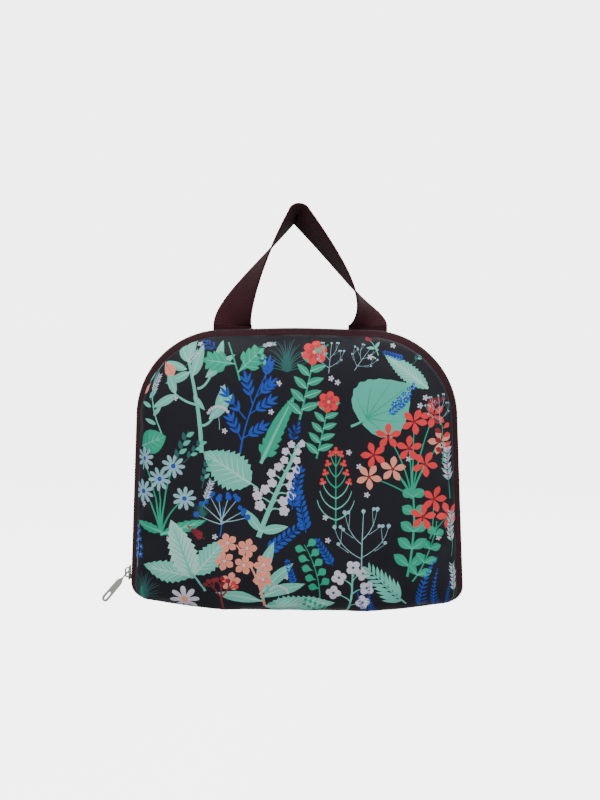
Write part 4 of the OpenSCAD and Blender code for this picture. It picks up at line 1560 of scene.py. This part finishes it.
def linings():
    lid_cup = Cup(dome_profile(LINING_DEPTH), -1)
    back_cup = Cup(back_profile(LINING_DEPTH, BACK_DRAW), 1)
    lining_cup("lid_lining", lid_cup, "lid", ["front_lining"], 11)
    lining_cup("back_lining_cloth", back_cup, "back_half", ["back_lining"], 17)
    binding_roll("lid_binding_roll", LID_DRAW, RIM_Y + 1.3, "lid", ["lid_binding"])
    binding_roll("back_binding_roll", BACK_DRAW, GUSSET_Y - 1.3, "back_half", ["back_binding"])


# ---------------------------------------------------------------- inner pockets

NET_CELL = 3.0
NET_YARN = 0.2
LOOPS = 5

slip_low, slip_high = node_box("slip_pocket_mesh")
band_low, band_high = node_box("slip_pocket_elastic")
pocket_low, pocket_high = node_box("pocket_mesh")
pocket_edge = drawn_in(LID_DRAW, SKIN_IN + 4.4)
pocket_y = (pocket_low[1] + pocket_high[1]) / 2


def net_threads(low, high, y, keep):
    """The knots of a hexagonal net and the pairs of them that a yarn joins."""
    points, edges, index = [], set(), {}
    side = NET_CELL / math.sqrt(3)

    def knot(x, z):
        key = (round(x * 20), round(z * 20))
        if key not in index:
            index[key] = len(points)
            points.append((x, y + 0.15 * math.sin(x / 9) * math.sin(z / 7), z))
        return index[key]

    for r in range(int((high[1] - low[1]) / (1.5 * side))):
        for c in range(int((high[0] - low[0]) / NET_CELL)):
            x = low[0] + NET_CELL * (c + 0.5 + 0.5 * (r % 2))
            z = low[1] + 1.5 * side * (r + 0.6)
            if x > high[0] - NET_CELL / 2 or not keep(x, z):
                continue
            turns = [math.radians(60 * k) for k in range(6)]
            ring = [knot(x + side * math.sin(a), z + side * math.cos(a)) for a in turns]
            edges.update(tuple(sorted((ring[k - 1], ring[k]))) for k in range(6))
    return np.array(points), sorted(edges)


def net(name, low, high, y, body, replaced, keep=lambda x, z: True):
    """Hexagonal netting over a rectangle at one depth."""
    knots, edges = net_threads(low, high, y, keep)
    corners = [math.pi / 2 * k + math.pi / 4 for k in range(4)]
    points, faces = [], []
    for a, b in edges:
        side = unit(np.cross(unit(knots[b] - knots[a]), Y))
        first = len(points)
        for at in (knots[a], knots[b]):
            points.extend(at + NET_YARN * (math.cos(t) * side + math.sin(t) * Y) for t in corners)
        for k in range(4):
            start, end = first + k, first + (k + 1) % 4
            faces.append((start, end, end + 4, start + 4))
    finish_piece(new_object(name, points, faces), NET, body, "mesh", replaced)


def flat_band(name, x0, x1, z0, z1, y, material, slot, replaced, waves=0, depth=0.0):
    """An upright band of cloth that faces -Y, rippled where it is gathered."""
    xs = np.linspace(x0, x1, max(24, int((x1 - x0) / 1.5)))
    grid = np.array([
        [(x, y + depth * math.sin(2 * math.pi * waves * (x - x0) / (x1 - x0)), z) for x in xs]
        for z in np.linspace(z0, z1, 7)
    ])
    finish_piece(cloth_strip(name, grid, 0.7), material, "back_half", slot, replaced)


def slip_pocket():
    """The open net pocket on the back: the net, its elastic upper edge and its sewn edges."""
    left, right = slip_low[0], slip_high[0]
    foot, top = slip_low[2], band_high[2]
    y = slip_low[1]
    upper_right = (right - 1, slip_high[2])
    net("slip_net", (left + 1, foot + 1), upper_right, y + 0.3, "back_half", ["slip_pocket_mesh"])
    flat_band(
        "slip_elastic", band_low[0], band_high[0], band_low[2] - 1, top, band_low[1] + 0.5,
        ELASTIC, "elastic", ["slip_pocket_elastic"], 26, 0.3,
    )
    edges = [
        (left - 1, left + 4, foot - 1, top), (right - 4, right + 1, foot - 1, top),
        (left - 1, right + 1, foot - 2, foot + 3),
    ]
    for k, edge in enumerate(edges):
        flat_band(f"slip_edge_{k}", *edge, y + 0.1, TAPE, "zip_tape", [])


def bottle_loops():
    """An elastic tacked down so that it stands up in loops."""
    low, high = node_box("bottle_elastic")
    xs = np.linspace(low[0], high[0], 161)
    puff = np.abs(np.sin(math.pi * LOOPS * (xs - xs[0]) / (xs[-1] - xs[0]))) ** 1.6
    grid = np.array([
        [(x, high[1] - 1.0 - 2.8 * p, z) for x, p in zip(xs, puff)] for z in np.linspace(low[2], high[2], 9)
    ])
    loops = cloth_strip("bottle_loops", grid, 0.9)
    finish_piece(loops, ELASTIC, "back_half", "elastic", ["bottle_elastic"])
    declare_sheet(grid)
    for k in range(LOOPS + 1):
        x = np.clip(xs[0] + (xs[-1] - xs[0]) * k / LOOPS, xs[0] + 1, xs[-1] - 1)
        row = np.array([[x, high[1] - 1.5, z] for z in np.linspace(low[2] + 1, high[2] - 1, 10)])
        stitches(f"loop_stitches_{k}", row, np.tile(-Y, (10, 1)), "back_half", 2.6, 1.8, 0.5)


def within_pocket(x, z):
    return bool(inside(np.array([[x, z]]), pocket_edge)[0])


def width_at(z):
    """Where the pocket's edge begins and ends at one height."""
    crossing = [
        start[0] + (end[0] - start[0]) * (z - start[1]) / (end[1] - start[1])
        for start, end in zip(np.roll(pocket_edge, 1, axis=0), pocket_edge)
        if (start[1] > z) != (end[1] > z)
    ]
    return min(crossing), max(crossing)


def trimmed_sheet(name, node, material, slot, wrinkle=0.0):
    """A flat panel inside the lid, as tall as a CAD node and cut to the pocket's edge."""
    low, high = node_box(node)
    grid = np.array([
        [
            (x, pocket_y + wrinkle * noise.noise(Vector((x / 20, z / 12, 2))), z)
            for x in np.linspace(*width_at(z), 90)
        ]
        for z in np.linspace(low[2], min(high[2], pocket_edge[:, 1].max() - 0.3), 16)
    ])
    panel = cloth_strip(name, grid, 0.6)
    if wrinkle:
        declare_sheet(grid)
    finish_piece(panel, material, "lid", slot, [node])


def lid_pocket():
    """The zipped net pocket on the inside of the lid."""
    net(
        "lid_net", (pocket_low[0], pocket_low[2]), (pocket_high[0], pocket_high[2]), pocket_y, "lid",
        ["pocket_mesh"], within_pocket,
    )
    trimmed_sheet("lid_yoke", "pocket_yoke", LINING, "lining", 0.6)
    for node in ("pocket_tape_lower", "pocket_tape_upper"):
        trimmed_sheet(node + "_cloth", node, TAPE, "zip_tape")
    low, high = node_box("pocket_coil")
    middle_z = (low[2] + high[2]) / 2
    for k, sign in enumerate((-1, 1)):
        z = middle_z + sign * 1.15
        line = np.array([(x, high[1] - 1.0, z) for x in np.linspace(low[0], high[0], 60)])
        chain = coil(f"pocket_teeth_{k}", line, np.tile(-Y, (60, 1)), Z, 0.95, 0.75, math.pi * k)
        finish_piece(chain, COIL, "lid", "zip_coil", ["pocket_coil"])


# ---------------------------------------------------------------- hook tab and zip ends


def hook_tab():
    """The loop of webbing that holds the hook's bar."""
    low, high = node_box("hook_tab")
    bar_y, bar_z, radius = low[1] + 3.6, high[2] - 3.6, 3.0
    path = [(high[1] - (high[1] - bar_y) * t, bar_z + radius) for t in np.linspace(0, 1, 14)[:-1]]
    turn = [math.radians(90 + 10 * k) for k in range(36)]
    path += [(bar_y + radius * math.cos(a), bar_z + radius * math.sin(a)) for a in turn]
    stations = [np.array([0, y, z]) for y, z in path]
    ways = unit_rows(np.gradient(np.array(stations), axis=0))
    section = band_section(high[0] - low[0], 1.2)
    tab = swept("hook_webbing", stations, [(X, np.cross(X, w)) for w in ways], section)
    finish_piece(tab, WEBBING, "back_half", "webbing", ["hook_tab"])


def zip_ends():
    """The fabric tabs over the two ends of the zip."""
    low, high = node_box("zip_end_tabs")
    for side, low_x, high_x in (("left", low[0], low[0] + 14), ("right", high[0] - 14, high[0])):
        under = (OUTLINE[:, 0] > low_x) & (OUTLINE[:, 0] < high_x) & (OUTLINE[:, 1] < CORNER_Z)
        order = np.nonzero(under)[0]
        order = order[np.argsort(OUTLINE[order, 0])]
        line = (OUTLINE - 2.5 * NORMALS)[order]
        grid = np.array([at_y(line, y) for y in np.linspace(low[1], high[1], 5)])
        cover = cloth_strip("zip_end_" + side, grid, 0.8)
        finish_piece(cover, TAPE, "back_half", "zip_tape", ["zip_end_tabs"])


# ---------------------------------------------------------------- stage, light and camera

FLOOR_Z = -0.27
FLOOR_R = 3.0
TARGET = (0.003, ZIP_Y * MM, 0.167)
# Area lights: place, the height they point at, width and power
LIGHTS = {
    "key": ((-0.8, -1.6, 1.7), 0.12, 1.4, 44), "fill": ((1.5, -1.4, 0.7), 0.12, 1.6, 24),
    "top": ((0.1, -0.1, 1.8), 0.1, 1.2, 16), "back": ((0.3, 1.6, 1.0), 0.12, 1.2, 10),
}
CAMERA_AWAY = 1.2
CAMERA_AZIMUTH = math.radians(3)
CAMERA_LIFT = math.radians(6)


def studio():
    """A pale round floor that curves up into walls. It lies below the bag, so that the lid can open fully."""
    profile = [(0.0002, 0.0), (1.0, 0.0), (FLOOR_R, 0.0)]
    profile += [(FLOOR_R + math.sin(a), 1 - math.cos(a)) for a in np.linspace(0.1, math.pi / 2, 16)]
    profile += [(FLOOR_R + 1, 6.0)]
    turns = np.linspace(0, 2 * math.pi, 65)
    grid = np.array([[(r * math.cos(a), r * math.sin(a), FLOOR_Z + z) for a in turns] for r, z in profile])
    backdrop = new_object("backdrop", grid.reshape(-1, 3) / MM, grid_faces(len(profile), len(turns)))
    white = (1, 1, 1, 1)
    look = Look("pale_floor", {"Roughness": 0.9, "Emission Color": white, "Emission Strength": 4.0})
    tone = look.noise(look.place(kind="Object"), 3, 3)
    look.feed(look.shader, {"Base Color": look.mixed(tone, srgb(250, 250, 250), srgb(246, 246, 246))})
    backdrop.data.materials.append(look.material)
    backdrop.visible_diffuse = False
    backdrop.visible_glossy = False


def aim(obj, at, target):
    """Puts a light or a camera in the scene, pointed at a target."""
    obj.location = at
    obj.rotation_euler = (Vector(target) - Vector(at)).to_track_quat("-Z", "Y").to_euler()
    bpy.context.scene.collection.objects.link(obj)


def lights():
    for name, (at, height, size, power) in LIGHTS.items():
        light = bpy.data.lights.new(name, "AREA")
        light.size = size
        light.energy = power
        aim(bpy.data.objects.new(name, light), at, (0, 0, height))
    world = bpy.data.worlds.new("studio")
    world.use_nodes = True
    background = world.node_tree.nodes["Background"]
    background.inputs["Color"].default_value = (1, 1, 1, 1)
    background.inputs["Strength"].default_value = 0.55
    bpy.context.scene.world = world


def camera():
    optics = bpy.data.cameras.new("camera")
    optics.sensor_fit = "VERTICAL"
    optics.sensor_height = 36
    optics.lens = 68.4
    obj = bpy.data.objects.new("camera", optics)
    level = math.cos(CAMERA_LIFT)
    way = (math.sin(CAMERA_AZIMUTH) * level, -math.cos(CAMERA_AZIMUTH) * level, math.sin(CAMERA_LIFT))
    aim(obj, Vector(TARGET) + CAMERA_AWAY * Vector(way), TARGET)
    bpy.context.scene.camera = obj


padded_walls()
base_and_hinge()
main_zip()
hard_parts()
seams()
handle()
linings()
slip_pocket()
bottle_loops()
lid_pocket()
hook_tab()
zip_ends()
studio()
lights()
camera()
